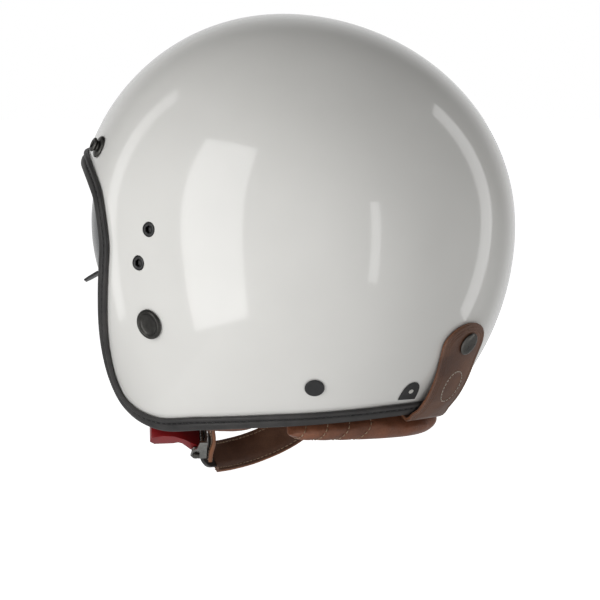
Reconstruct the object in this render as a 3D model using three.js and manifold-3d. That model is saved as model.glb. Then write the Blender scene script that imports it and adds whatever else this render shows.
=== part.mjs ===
// Open face motorcycle helmet, size L, with an inner sun visor.
// Millimetres. +Z up, the wearer faces -Y, the wearer's left is +X.
// The origin is the centre of the head cavity, level with the widest part of the shell.
// Depths are measured inward from the outer surface of the shell, along its normal.

import * as THREE from 'three';
import { mergeVertices } from 'three/addons/utils/BufferGeometryUtils.js';
import Module from 'manifold-3d';

const wasm = await Module();
wasm.setup();

// ---- Driving dimensions ----

// Semi-axes of the shell's outer surface: side, front, back, crown and, below the equator,
// the longer ones that carry the jaw and the nape down.
const SIDE = 120;
const FRONT = 125;
const BACK = 146;
const CROWN = 125.4;
const JAW = 191;
const NAPE = 146;
const FRONT_TO_BACK_BLEND = 65;
const CROWN_TO_JAW_BLEND = 45;

const SHELL_THICKNESS = 4;
const FOAM_DEPTH = 5;
const FOAM_THICKNESS = 25;
const CROWN_PAD_DEPTH = 31;
const CROWN_PAD_THICKNESS = 5.5;
const CHEEK_PAD_DEPTH = 9.6;
const CHEEK_PAD_THICKNESS = 26;
const NECK_ROLL_BOTTOM = -124;

const TRIM_COVER = 6.5;
const TRIM_PROUD = 2.9;
const TRIM_INSIDE = 6.8;
const CONTACT_GAP = 0.35;
const EDGE_STEPS = 64;

// The sun visor is a piece of an ellipsoid of revolution about its pivot axis, along X.
const VISOR_PIVOT = new THREE.Vector3(0, -11.5, 2);
const VISOR_RADIUS = 104.7;
const VISOR_HALF_WIDTH = 109.5;
const VISOR_THICKNESS = 2.2;
const LENS_HALF_ANGLE = 60;
const LENS_TOP_ANGLE = 31;
const LENS_LOBE_ANGLE = -20.4;
const LENS_NOSE_ANGLE = -5.5;
const VISOR_BOSS_RADIUS = 9.5;

const SCREW_HEAD_RADIUS = 4.25;
const SCREW_SHANK_RADIUS = 1.6;
const RIVET_CAP_RADIUS = 9;
const RIVET_SHANK_RADIUS = 2.6;

const STRAP_WIDTH = 20;
const STRAP_THICKNESS = 2.4;
const LEG_THICKNESS = 1.8;
const FLAP_HALF_WIDTH = 17.5;
const FLAP_THICKNESS = 2.6;

// ---- Places on the shell (wearer's left, mirrored for the right) ----

const SCREW_UPPER = new THREE.Vector3(119.5, VISOR_PIVOT.y, VISOR_PIVOT.z);
const SCREW_LOWER = new THREE.Vector3(117.7, -20.3, -17.7);
const RIVET_FRONT = new THREE.Vector3(112.4, -16.2, -53.2);
const RIVET_REAR = new THREE.Vector3(74.3, 73.2, -88.2);
const SNAP_SIDE = new THREE.Vector3(90.7, -69.1, 47.6);
const SNAP_CENTRE = new THREE.Vector3(0, -110, 57.5);
const SNAP_REAR = new THREE.Vector3(3.4, 129, -63.2);
const LABEL = new THREE.Vector3(26, 106, -92);

// Edge of the shell from the middle of the brow, round the cheek and jaw, to the nape.
const SHELL_EDGE = [
  [0, -118.5, 39.8], [46, -108.5, 38.6], [84.4, -83.5, 35], [98.3, -68.5, 26.8], [105.7, -58.6, 16.5],
  [109.7, -51.7, -6.5], [107.8, -53.6, -20.9], [103.2, -57.9, -39.1], [91.4, -64.9, -70],
  [83.1, -65.6, -89.3], [79.7, -61.3, -101.4], [80.8, -51.4, -109.2], [84.3, -29.2, -115],
  [85.8, 0, -113.3], [76.4, 37.7, -110.4], [62, 64.8, -108.3], [45.9, 83.3, -106.4],
  [27.1, 96, -104.6], [0, 102, -103],
];

// Edge of the foam liner, which stops above the cheek pads and the neck roll.
const FOAM_EDGE = [
  [0, -117, 49], [46, -107, 48], [82, -80, 43], [96, -65, 33], [106, -52, 20], [113, -42, 0],
  [116, -36, -18], [119, -18, -24], [119, 10, -24], [113, 40, -28], [99, 68, -50],
  [80, 92, -66], [50, 112, -73], [0, 126, -75],
];

const CROWN_PAD_EDGE = [
  [0, -110, 57], [46, -102, 55], [84, -75, 46], [103, -50, 26], [114, -34, 2],
  [118, -14, -12], [118, 12, -14], [113, 42, -18], [98, 72, -38], [76, 96, -54],
  [46, 116, -62], [0, 128, -64],
];

// ---- Materials ----

const paint = (color, roughness, metalness = 0) =>
  new THREE.MeshStandardMaterial({ color, roughness, metalness });
const ivoryGloss = paint(0xdedcd6, 0.08);
const blackRubber = paint(0x2a2a2b, 0.6);
const greyFoam = paint(0x3c3d40, 0.9);
const darkFabric = paint(0x4a3a32, 0.95);
const brownLeather = paint(0x6a452f, 0.6);
const strapWebbing = paint(0x2b2724, 0.85);
const gunmetal = paint(0x55534f, 0.35, 0.9);
const darkScrew = paint(0x262626, 0.4, 0.7);
const blackNylon = paint(0x1c1c1d, 0.45);
const smokedGlass = paint(0x3a3c3e, 0.05);
const steel = paint(0x8a8a87, 0.3, 1);
const redPlastic = paint(0x9a1a1e, 0.4);

const model = new THREE.Group();
const sunVisor = new THREE.Group();
const goggleFlap = new THREE.Group();
const chinStrap = new THREE.Group();
model.add(sunVisor, goggleFlap, chinStrap);

// ---- The shell's outer surface ----

const ease = (t) => 0.5 * (1 + t / Math.hypot(1, t));

// Less than 1 inside the surface, 1 on it and more than 1 outside it.
function shellField(p) {
  const back = ease(p.y / FRONT_TO_BACK_BLEND);
  const up = ease(p.z / CROWN_TO_JAW_BLEND);
  const alongY = (1 - back) / FRONT ** 2 + back / BACK ** 2;
  const below = (1 - back) / JAW ** 2 + back / NAPE ** 2;
  const alongZ = (1 - up) * below + up / CROWN ** 2;
  return (p.x / SIDE) ** 2 + p.y ** 2 * alongY + p.z ** 2 * alongZ;
}

function onShell(toward) {
  const direction = toward.clone().normalize();
  let inside = 40;
  let outside = 260;
  for (let step = 0; step < 40; step += 1) {
    const middle = (inside + outside) / 2;
    if (shellField(direction.clone().multiplyScalar(middle)) < 1) inside = middle;
    else outside = middle;
  }
  return direction.multiplyScalar(inside);
}

function shellNormal(p) {
  const h = 0.05;
  const slope = (x, y, z) => {
    const shift = new THREE.Vector3(x, y, z);
    return shellField(p.clone().add(shift)) - shellField(p.clone().sub(shift));
  };
  return new THREE.Vector3(slope(h, 0, 0), slope(0, h, 0), slope(0, 0, h)).normalize();
}

function atDepth(toward, depth) {
  const p = onShell(toward);
  return p.addScaledVector(shellNormal(p), -depth);
}

// ---- Building closed bodies ----

const mirrored = (p, side) => new THREE.Vector3(p.x * side, p.y, p.z);

function volumeOf(geometry) {
  const at = geometry.attributes.position;
  const corner = [new THREE.Vector3(), new THREE.Vector3(), new THREE.Vector3()];
  let sum = 0;
  for (let i = 0; i < geometry.index.count; i += 3) {
    corner.forEach((v, k) => v.fromBufferAttribute(at, geometry.index.getX(i + k)));
    sum += corner[0].dot(corner[1].clone().cross(corner[2]));
  }
  return sum / 6;
}

// A body from points and triangles, turned so that its faces point out.
function body(points, triangles) {
  const geometry = new THREE.BufferGeometry();
  geometry.setAttribute('position', new THREE.Float32BufferAttribute(points.flatMap((p) => p.toArray()), 3));
  geometry.setIndex(triangles.flat());
  if (volumeOf(geometry) < 0) geometry.setIndex(triangles.flatMap(([a, b, c]) => [a, c, b]));
  return geometry;
}

function solidFrom(geometry) {
  const bare = geometry.clone();
  bare.deleteAttribute('normal');
  bare.deleteAttribute('uv');
  const merged = mergeVertices(bare, 1e-4);
  return new wasm.Manifold(new wasm.Mesh({
    numProp: 3,
    vertProperties: merged.attributes.position.array,
    triVerts: new Uint32Array(merged.index.array),
  }));
}

function geometryFrom(solid) {
  const mesh = solid.getMesh();
  const geometry = new THREE.BufferGeometry();
  geometry.setAttribute('position', new THREE.BufferAttribute(mesh.vertProperties, 3));
  geometry.setIndex(new THREE.BufferAttribute(mesh.triVerts, 1));
  return geometry;
}

function cut(geometry, ...tools) {
  return geometryFrom(tools.reduce((left, tool) => left.subtract(solidFrom(tool)), solidFrom(geometry)));
}

function add(name, geometry, material, group = model) {
  const mesh = new THREE.Mesh(geometry, material);
  mesh.name = name;
  group.add(mesh);
  return mesh;
}

// A body through a row of sections that all have the same number of points.
function loft(sections, closed = false) {
  const around = sections[0].length;
  const points = sections.flat();
  const triangles = [];
  const last = closed ? sections.length : sections.length - 1;
  for (let i = 0; i < last; i += 1) {
    const next = (i + 1) % sections.length;
    for (let j = 0; j < around; j += 1) {
      const k = (j + 1) % around;
      const [a, b] = [i * around + j, i * around + k];
      const [c, d] = [next * around + k, next * around + j];
      triangles.push([a, b, c], [a, c, d]);
    }
  }
  if (!closed) {
    const end = (sections.length - 1) * around;
    for (let j = 1; j < around - 1; j += 1) {
      triangles.push([0, j + 1, j], [end, end + j, end + j + 1]);
    }
  }
  return body(points, triangles);
}

// A turned body about local +Z, from a half profile of [radius, height] points.
function turned(profile, segments) {
  const outline = profile.map(([r, h]) => new THREE.Vector2(r, h));
  const geometry = new THREE.LatheGeometry([...outline, outline[0]], segments).rotateX(Math.PI / 2);
  geometry.deleteAttribute('normal');
  geometry.deleteAttribute('uv');
  const merged = mergeVertices(geometry, 1e-4);
  const corners = Array.from(merged.index.array);
  const triangles = [];
  for (let i = 0; i < corners.length; i += 3) {
    const [a, b, c] = corners.slice(i, i + 3);
    if (a !== b && b !== c && c !== a) triangles.push([a, b, c]);
  }
  const at = merged.attributes.position;
  const points = Array.from({ length: at.count }, (_, i) => new THREE.Vector3().fromBufferAttribute(at, i));
  return body(points, triangles);
}

// Stands a body made along local +Z at a place, with +Z along the given direction.
function stand(geometry, place, direction) {
  const turn = new THREE.Quaternion().setFromUnitVectors(new THREE.Vector3(0, 0, 1), direction);
  return geometry.clone().applyQuaternion(turn).translate(place.x, place.y, place.z);
}

// ---- Layers that follow the shell ----

// A closed edge round the helmet from its left half: the right half is its mirror image.
function edgeCurve(half) {
  const left = half.map(([x, y, z]) => new THREE.Vector3(x, y, z));
  const right = left.slice(1, -1).reverse().map((p) => mirrored(p, -1));
  return new THREE.CatmullRomCurve3([...left, ...right], true, 'centripetal');
}

// All layers are drawn as rings from a pole high on the back of the head to their edge.
const POLE = new THREE.Vector3(0, 1, 1).normalize();

function layer(edge, outerDepth, thickness, columns, rings) {
  const rim = edgeCurve(edge).getSpacedPoints(columns).slice(0, columns);
  const points = [atDepth(POLE, outerDepth), atDepth(POLE, outerDepth + thickness)];
  for (const p of rim) {
    const direction = p.clone().normalize();
    const angle = POLE.angleTo(direction);
    const axis = POLE.clone().cross(direction).normalize();
    for (let ring = 1; ring <= rings; ring += 1) {
      const toward = POLE.clone().applyAxisAngle(axis, angle * ring / rings);
      points.push(atDepth(toward, outerDepth), atDepth(toward, outerDepth + thickness));
    }
  }
  const at = (column, ring, inner) => ring === 0
    ? inner
    : 2 + 2 * ((column % columns) * rings + ring - 1) + inner;
  const triangles = [];
  for (let i = 0; i < columns; i += 1) {
    for (let ring = 0; ring < rings; ring += 1) {
      for (const inner of [0, 1]) {
        const quad = [
          at(i, ring, inner), at(i, ring + 1, inner), at(i + 1, ring + 1, inner), at(i + 1, ring, inner),
        ];
        if (inner) quad.reverse();
        if (quad[0] !== quad[3] && ring > 0) {
          triangles.push([quad[0], quad[1], quad[2]], [quad[0], quad[2], quad[3]]);
        } else {
          triangles.push(inner ? [quad[1], quad[2], quad[3]] : [quad[0], quad[1], quad[2]]);
        }
      }
    }
    const [a, b] = [at(i, rings, 0), at(i + 1, rings, 0)];
    const [c, d] = [at(i + 1, rings, 1), at(i, rings, 1)];
    triangles.push([a, c, b], [a, d, c]);
  }
  return body(points, triangles);
}

// ---- Shell, trim and lining ----

function screwHole(place, side) {
  const profile = [[0, -9], [2.1, -9], [2.1, -2.6], [4.7, 0.2], [4.7, 4], [0, 4]];
  return stand(turned(profile, 16), mirrored(place, side), new THREE.Vector3(side, 0, 0));
}

function rivetHole(place, side) {
  const outward = shellNormal(onShell(place));
  const profile = [[0, -9], [RIVET_SHANK_RADIUS + 0.4, -9], [RIVET_SHANK_RADIUS + 0.4, 4], [0, 4]];
  return stand(turned(profile, 12), mirrored(onShell(place), side), mirrored(outward, side));
}

function outerShell() {
  const holes = [1, -1].flatMap((side) => [
    screwHole(SCREW_UPPER, side), screwHole(SCREW_LOWER, side),
    rivetHole(RIVET_FRONT, side), rivetHole(RIVET_REAR, side),
  ]);
  return cut(layer(SHELL_EDGE, 0, SHELL_THICKNESS, EDGE_STEPS, 13), ...holes);
}

// The trim is a channel pressed over the shell's edge. Its section is given as
// [outward, past the shell's edge], with a groove for the seam between bead and band.
function edgeTrim() {
  const section = [
    [CONTACT_GAP, -TRIM_COVER], [2, -TRIM_COVER], [2.7, -5], [2, -3.4], [TRIM_PROUD, -2.4],
    [TRIM_PROUD, 1.8], [1.6, 3.1], [-TRIM_INSIDE, 3.1], [-TRIM_INSIDE, -6.5],
    [-SHELL_THICKNESS - 1.6, -6.5], [-SHELL_THICKNESS - 1.6, 0.5], [CONTACT_GAP, 0.5],
  ];
  const curve = edgeCurve(SHELL_EDGE);
  const centres = curve.getSpacedPoints(EDGE_STEPS).slice(0, EDGE_STEPS).map((p) => onShell(p));
  return loft(centres.map((p, i) => {
    const before = centres[(i + EDGE_STEPS - 1) % EDGE_STEPS];
    const after = centres[(i + 1) % EDGE_STEPS];
    const outward = shellNormal(p);
    const past = after.clone().sub(before).cross(outward).normalize();
    return section.map(([out, along]) =>
      p.clone().addScaledVector(outward, out).addScaledVector(past, along));
  }), true);
}

function visorRecess() {
  const path = new THREE.Shape();
  const [y, z] = [VISOR_PIVOT.y, VISOR_PIVOT.z];
  path.moveTo(-170, z - 110);
  path.lineTo(y + 4, z - 14);
  path.lineTo(y + 13.5, z - 4);
  path.lineTo(y + 13.5, z + 8);
  path.lineTo(-36, 170);
  path.lineTo(-170, 170);
  path.closePath();
  return extrudedAcross(path, -130, 130);
}

// Extrudes an outline drawn in [y, z] along X.
function extrudedAcross(shape, from, to) {
  const geometry = new THREE.ExtrudeGeometry(shape, { depth: to - from, bevelEnabled: false, curveSegments: 10 });
  const turn = new THREE.Matrix4().makeBasis(
    new THREE.Vector3(0, 1, 0), new THREE.Vector3(0, 0, 1), new THREE.Vector3(1, 0, 0));
  return geometry.applyMatrix4(turn).translate(from, 0, 0);
}

function insideVisor() {
  const clearance = 5.2;
  const sphere = new THREE.SphereGeometry(1, 40, 20);
  sphere.scale(VISOR_HALF_WIDTH - clearance, VISOR_RADIUS - clearance, VISOR_RADIUS - clearance);
  return sphere.translate(0, VISOR_PIVOT.y, VISOR_PIVOT.z);
}

// The base plate's outline: round the pivot, with a tail to the lower screw.
function basePlateShape(grow) {
  const [y, z] = [VISOR_PIVOT.y, VISOR_PIVOT.z];
  const shape = new THREE.Shape();
  const tail = 7 + grow;
  const head = 13 + grow;
  const lean = Math.atan2(SCREW_LOWER.z - z, SCREW_LOWER.y - y);
  shape.absarc(SCREW_LOWER.y, SCREW_LOWER.z, tail, lean - 1.4, lean + 1.4, false);
  shape.absarc(y, z, head, lean + 1.5, lean - 1.5 + 2 * Math.PI, false);
  shape.closePath();
  return shape;
}

const PLATE_INSIDE = 101.5;
const PLATE_OUTSIDE = 104.5;

function foamLiner() {
  const recess = geometryFrom(solidFrom(visorRecess()).subtract(solidFrom(insideVisor())));
  const pockets = [1, -1].map((side) => {
    const ends = side > 0 ? [PLATE_INSIDE - 0.8, 125] : [-125, -PLATE_INSIDE + 0.8];
    return extrudedAcross(basePlateShape(1), ...ends);
  });
  return cut(layer(FOAM_EDGE, FOAM_DEPTH, FOAM_THICKNESS, 44, 9), recess, ...pockets);
}

// A cushion over an outline in [y, z], fat in the middle and thin at its edge.
function cheekPad(side) {
  const [frontY, rearY, topZ, bottomZ] = [-45, 40, -29, -121.5];
  const middle = [(frontY + rearY) / 2, (topZ + bottomZ) / 2];
  const half = [(rearY - frontY) / 2, (topZ - bottomZ) / 2];
  const columns = 28;
  const rings = [[1, 0.3], [0.93, 0.6], [0.75, 0.9], [0.4, 1]];
  const place = (angle, reach, depth) => {
    const round = (v) => Math.sign(v) * Math.abs(v) ** 0.55;
    const y = middle[0] + half[0] * reach * round(Math.cos(angle));
    const z = middle[1] + half[1] * reach * round(Math.sin(angle));
    return mirrored(levelInward(besideShell(y, z), depth), side);
  };
  const ringAt = (reach, depth) => Array.from({ length: columns }, (_, i) =>
    place((i / columns) * 2 * Math.PI, reach, depth));
  const outer = [0.15, 0.6].map((reach) => ringAt(reach, CHEEK_PAD_DEPTH));
  const rim = rings.map(([reach, fat]) => ringAt(reach, CHEEK_PAD_DEPTH + CHEEK_PAD_THICKNESS * fat));
  const tip = ringAt(0.1, CHEEK_PAD_DEPTH + CHEEK_PAD_THICKNESS);
  return loft([...outer, ringAt(1, CHEEK_PAD_DEPTH), ...rim, tip]);
}

const inward = (p, depth) => p.clone().addScaledVector(shellNormal(p), -depth);

// Moves a point of the shell inward to a given depth without changing its height.
function levelInward(p, depth) {
  const normal = shellNormal(p);
  const level = normal.clone().setZ(0);
  return p.clone().addScaledVector(level, -depth / level.lengthSq());
}

// The point of the shell's left flank with a given y and z.
function besideShell(y, z) {
  const p = new THREE.Vector3(0, y, z);
  const left = 1 - shellField(p);
  p.x = SIDE * Math.sqrt(Math.max(left, 0.01));
  return p;
}

// Height of the shell's edge behind the head, at an angle from straight back.
const edgeHeightBehind = (angle) => -100.7 - Math.hypot(2.3, THREE.MathUtils.radToDeg(angle) * 0.165);

// A point given as [outward, up] from the shell's edge behind the head, both level and plumb.
function besideEdge(angle, outward, up) {
  const edge = behindShell(angle, edgeHeightBehind(angle));
  const level = shellNormal(edge).setZ(0).normalize();
  return edge.addScaledVector(level, outward).setZ(edge.z + up);
}

// How far the neck roll's lip draws back to let the goggle strap's root in.
const ROOT_ROOM = 3;

// A roll round the nape, from behind one cheek pad to behind the other. It fills the space
// below and inside the trim, and makes room for the goggle strap's root in the middle.
function neckRoll() {
  const steps = 26;
  const endAngle = THREE.MathUtils.degToRad(56);
  const lip = [[-11.2, 7], [-10.4, 1], [-6.7, -2.8], [-3.6, -5.8], [-2.2, -7.6]];
  const round = [
    [-2.6, -11.4], [-6, -15.4], [-12.5, -18], [-20, -17.4], [-25.5, -12], [-27.5, -3], [-26, 8], [-19, 14],
  ];
  const sections = [];
  for (let i = 0; i <= steps; i += 1) {
    const angle = endAngle * (2 * i / steps - 1);
    const end = Math.abs(2 * i / steps - 1);
    const slim = end > 0.9 ? 1 - 4 * (end - 0.9) : 1;
    const room = ROOT_ROOM * (1 - THREE.MathUtils.smoothstep(Math.abs(angle), 0.19, 0.27));
    const reach = (edgeHeightBehind(angle) - 7 - NECK_ROLL_BOTTOM) / 11;
    const section = [...lip.map(([out, up]) => [out - room, up - room]), ...round];
    sections.push(section.map(([out, up]) => {
      const low = up < -7 ? -7 + (up + 7) * reach : up;
      return besideEdge(angle, -13 + (out + 13) * slim, -5 + (low + 5) * slim);
    }));
  }
  return loft(sections);
}

// The point of the shell behind the head, at an angle from straight back and a height.
function behindShell(angle, z) {
  let inside = 20;
  let outside = 200;
  for (let step = 0; step < 40; step += 1) {
    const middle = (inside + outside) / 2;
    const p = new THREE.Vector3(middle * Math.sin(angle), middle * Math.cos(angle), z);
    if (shellField(p) < 1) inside = middle;
    else outside = middle;
  }
  return new THREE.Vector3(inside * Math.sin(angle), inside * Math.cos(angle), z);
}

add('outer_shell', outerShell(), ivoryGloss);
add('edge_trim', edgeTrim(), blackRubber);
add('eps_liner', foamLiner(), greyFoam);
add('crown_pad', layer(CROWN_PAD_EDGE, CROWN_PAD_DEPTH, CROWN_PAD_THICKNESS, 36, 7), darkFabric);
add('neck_roll', neckRoll(), brownLeather);

// ---- Snaps, screws and rivets on the shell ----

const BROW_SNAP = [
  [0, CONTACT_GAP], [6.7, CONTACT_GAP], [6.7, 1.3], [5.6, 1.9], [3.2, 2.1], [3.2, 3.1],
  [4.3, 4], [4.3, 4.7], [3.7, 5.2], [1.9, 5.2], [1.9, 2.6], [0, 2.6],
];
const REAR_STUD = [
  [0, CONTACT_GAP], [3.9, CONTACT_GAP], [3.9, 1], [2.6, 1.4], [2.6, 2.2], [3.3, 2.8], [2.9, 3.6], [0, 3.6],
];

function onSurface(profile, segments, place, side = 1) {
  const p = onShell(place);
  return stand(turned(profile, segments), mirrored(p, side), mirrored(shellNormal(p), side));
}

function sideScrew(place, side) {
  const profile = [
    [0, -11.3], [SCREW_SHANK_RADIUS, -11.3], [SCREW_SHANK_RADIUS, -2.3],
    [SCREW_HEAD_RADIUS, 0.1], [SCREW_HEAD_RADIUS - 0.3, 0.5], [1.7, 0.7], [1.7, -1.2], [0, -1.2],
  ];
  return stand(turned(profile, 12), mirrored(place, side), new THREE.Vector3(side, 0, 0));
}

// A set rivet: its cap outside the shell, its shank through it and its head inside,
// with the strap's end held between the shell and the inner head.
function strapRivet(place, side, cap) {
  const inner = [
    [0, -9], [5, -9], [5, -7.9], [RIVET_SHANK_RADIUS, -7.7], [RIVET_SHANK_RADIUS, CONTACT_GAP + 0.05],
  ];
  return onSurface([...inner, ...cap], 16, place, side);
}

const DISHED_CAP = [
  [RIVET_CAP_RADIUS, 0.4], [RIVET_CAP_RADIUS, 1], [7.9, 2.3], [6.7, 2.3], [6, 1.1], [3, 0.8], [0, 0.7],
];
const FLAT_CAP = [[5.75, 0.4], [5.75, 0.9], [5.2, 1.3], [0, 1.4]];

add('brow_snap_left', onSurface(BROW_SNAP, 14, SNAP_SIDE), gunmetal);
add('brow_snap_center', onSurface(BROW_SNAP, 14, SNAP_CENTRE), gunmetal);
add('brow_snap_right', onSurface(BROW_SNAP, 14, SNAP_SIDE, -1), gunmetal);
add('goggle_snap_stud', onSurface(REAR_STUD, 12, SNAP_REAR), gunmetal);

for (const [name, side] of [['left', 1], ['right', -1]]) {
  add(`side_screw_upper_${name}`, sideScrew(SCREW_UPPER, side), darkScrew);
  add(`side_screw_lower_${name}`, sideScrew(SCREW_LOWER, side), darkScrew);
  add(`strap_rivet_front_${name}`, strapRivet(RIVET_FRONT, side, DISHED_CAP), gunmetal);
  add(`strap_rivet_rear_${name}`, strapRivet(RIVET_REAR, side, FLAT_CAP), blackNylon);
}

// A thin round-topped tag on the shell, with its foot just above the trim.
function sizeLabel() {
  const outline = [
    [-6, -5.5], [6, -5.5], [5.8, 0.5], [4.5, 5], [2.4, 7.2], [0, 7.9], [-2.4, 7.2], [-4.5, 5], [-5.8, 0.5],
  ];
  const middle = onShell(LABEL);
  const outward = shellNormal(middle);
  const across = new THREE.Vector3(0, 0, 1).cross(outward).normalize();
  const up = outward.clone().cross(across);
  const ringAt = (height, reach) => outline.map(([u, v]) => {
    const toward = middle.clone().addScaledVector(across, u * reach).addScaledVector(up, v * reach);
    return atDepth(toward, -height);
  });
  return loft([ringAt(0.35, 1), ringAt(0.75, 1)]);
}
add('size_label', sizeLabel(), blackNylon);

// ---- Sun visor ----

// The point of the visor's outer surface at an angle across (from the middle) and up.
function onVisor(across, up, depth) {
  const [a, u] = [across, up].map(THREE.MathUtils.degToRad);
  const radius = (VISOR_RADIUS - depth) * Math.cos(a);
  const x = (VISOR_HALF_WIDTH - depth) * Math.sin(a);
  return new THREE.Vector3(x, VISOR_PIVOT.y - radius * Math.cos(u), VISOR_PIVOT.z + radius * Math.sin(u));
}

function lensBottomAngle(across) {
  const lobe = THREE.MathUtils.smoothstep(Math.abs(across), 2, 25);
  return THREE.MathUtils.lerp(LENS_NOSE_ANGLE, LENS_LOBE_ANGLE, lobe);
}

function visorLens() {
  const [columns, rows] = [28, 4];
  const sections = [];
  for (let i = 0; i <= columns; i += 1) {
    const across = LENS_HALF_ANGLE * (2 * i / columns - 1);
    const bottom = lensBottomAngle(across);
    const top = LENS_TOP_ANGLE - 5 * (across / LENS_HALF_ANGLE) ** 2;
    const angles = Array.from({ length: rows + 1 }, (_, j) => bottom + (top - bottom) * j / rows);
    sections.push([
      ...angles.map((angle) => onVisor(across, angle, 0)),
      ...angles.toReversed().map((angle) => onVisor(across, angle, VISOR_THICKNESS)),
    ]);
  }
  return loft(sections);
}

// An arm lies in the same surface as the lens, from the lens's end to a boss on the pivot.
function visorArm(side) {
  const reach = (VISOR_RADIUS - VISOR_THICKNESS) * Math.cos(THREE.MathUtils.degToRad(LENS_HALF_ANGLE)) - 2.9;
  const start = -VISOR_BOSS_RADIUS + 0.5;
  const steps = 10;
  const sections = [];
  for (let i = 0; i <= steps; i += 1) {
    const along = start + (reach - start) * i / steps;
    const boss = Math.sqrt(Math.max(VISOR_BOSS_RADIUS ** 2 - along ** 2, 0));
    const half = along < 3 ? boss : Math.max(boss, 9 + 9 * THREE.MathUtils.smoothstep(along, 3, reach));
    const ring = [-1, -0.7, -0.35, 0, 0.35, 0.7, 1].map((v) => {
      const end = Math.sqrt(reach ** 2 - (v * half) ** 2);
      const out = start + (end - start) * i / steps;
      const distance = Math.hypot(out, v * half);
      const inSurface = VISOR_HALF_WIDTH * Math.sqrt(1 - (distance / VISOR_RADIUS) ** 2);
      const turn = THREE.MathUtils.degToRad(4);
      const y = out * Math.cos(turn) - v * half * Math.sin(turn);
      const z = out * Math.sin(turn) + v * half * Math.cos(turn);
      return new THREE.Vector3(inSurface, VISOR_PIVOT.y - y, VISOR_PIVOT.z + z);
    });
    const inner = ring.toReversed().map((p) => p.clone().setX(p.x - VISOR_THICKNESS));
    sections.push([...ring, ...inner].map((p) => mirrored(p, side)));
  }
  const bore = new THREE.CylinderGeometry(4.4, 4.4, 12, 20).rotateZ(Math.PI / 2);
  return cut(loft(sections), bore.translate(side * VISOR_HALF_WIDTH, VISOR_PIVOT.y, VISOR_PIVOT.z));
}

// A thin finger tab hangs forward and down from the lens's edge on the wearer's left.
function visorTab() {
  const root = onVisor(33, LENS_LOBE_ANGLE, VISOR_THICKNESS / 2);
  const across = onVisor(37, LENS_LOBE_ANGLE, 1.1).sub(onVisor(29, LENS_LOBE_ANGLE, 1.1)).normalize();
  const forward = new THREE.Vector3(0, -1, 0).addScaledVector(across, across.y).normalize();
  const slope = THREE.MathUtils.degToRad(34);
  const out = forward.multiplyScalar(Math.cos(slope)).add(new THREE.Vector3(0, 0, -Math.sin(slope)));
  const thick = across.clone().cross(out).normalize().multiplyScalar(0.6);
  const outline = [[-6, 1.6], [6, 1.6], [5.6, 8], [3.8, 12.4], [-3.8, 12.4], [-5.6, 8]];
  const face = (sign) => outline.map(([u, v]) =>
    root.clone().addScaledVector(across, u).addScaledVector(out, v).addScaledVector(thick, sign));
  return loft([face(-1), face(1)]);
}

function visorBase(side) {
  const ends = side > 0 ? [PLATE_INSIDE, PLATE_OUTSIDE] : [-PLATE_OUTSIDE, -PLATE_INSIDE];
  const plate = solidFrom(extrudedAcross(basePlateShape(0), ...ends));
  const outward = new THREE.Vector3(side, 0, 0);
  const post = (place, radius, top) => {
    const foot = mirrored(new THREE.Vector3(PLATE_INSIDE + 1, place.y, place.z), side);
    const height = top - foot.x * side;
    return solidFrom(stand(turned([[0, 0], [radius, 0], [radius, height], [0, height]], 20), foot, outward));
  };
  const bore = (place) => {
    const foot = mirrored(new THREE.Vector3(PLATE_OUTSIDE + 1.5, place.y, place.z), side);
    return solidFrom(stand(turned([[0, 0], [2, 0], [2, 20], [0, 20]], 16), foot, outward));
  };
  return geometryFrom(plate.add(post(SCREW_UPPER, 4, 114.2)).add(post(SCREW_LOWER, 4, 112))
    .subtract(bore(SCREW_UPPER)).subtract(bore(SCREW_LOWER)));
}

add('visor_lens', visorLens(), smokedGlass, sunVisor);
add('visor_tab', visorTab(), blackNylon, sunVisor);
for (const [name, side] of [['left', 1], ['right', -1]]) {
  add(`visor_arm_${name}`, visorArm(side), blackNylon, sunVisor);
  add(`visor_base_${name}`, visorBase(side), blackNylon);
}

// ---- Goggle strap at the back ----

// Section of the flap at one height: a bowed slab that clears the shell, or the trim lower down.
const FLAP_TOP_Z = -52;
const flapCentre = (z) => 4 * THREE.MathUtils.smoothstep(z, -86, -60);

function flapLift(z) {
  return 0.45 + 3.1 * THREE.MathUtils.smoothstep(-z, 88, 97);
}

function flapHalfWidth(z) {
  const fromTop = FLAP_TOP_Z - z;
  const round = FLAP_HALF_WIDTH * 0.82;
  if (fromTop >= round) return FLAP_HALF_WIDTH;
  return Math.max(3, FLAP_HALF_WIDTH * Math.sqrt(1 - (1 - fromTop / round) ** 2));
}

function flapSection(z) {
  const half = flapHalfWidth(z);
  const across = [-1, -0.5, 0, 0.5, 1];
  const pointAt = (u, height) => {
    const x = flapCentre(z) + u * half;
    return inward(behindShell(Math.atan2(x, 120), z), -height);
  };
  return [
    ...across.map((u) => pointAt(u, flapLift(z) + FLAP_THICKNESS)),
    ...across.toReversed().map((u) => pointAt(u, flapLift(z))),
  ];
}

// The strap's centre line round the trim's lower corner, as [outward, up] from the shell's edge.
const FLAP_END = [[2.7, -4], [0.8, -5.7]];
const ROOT_FOLD = [[-2, -6.5], [-4.3, -5.2], [-6.6, -3], [-9, -0.7]];
const DOWN_TRIM = [-0.71, -0.704];

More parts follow.
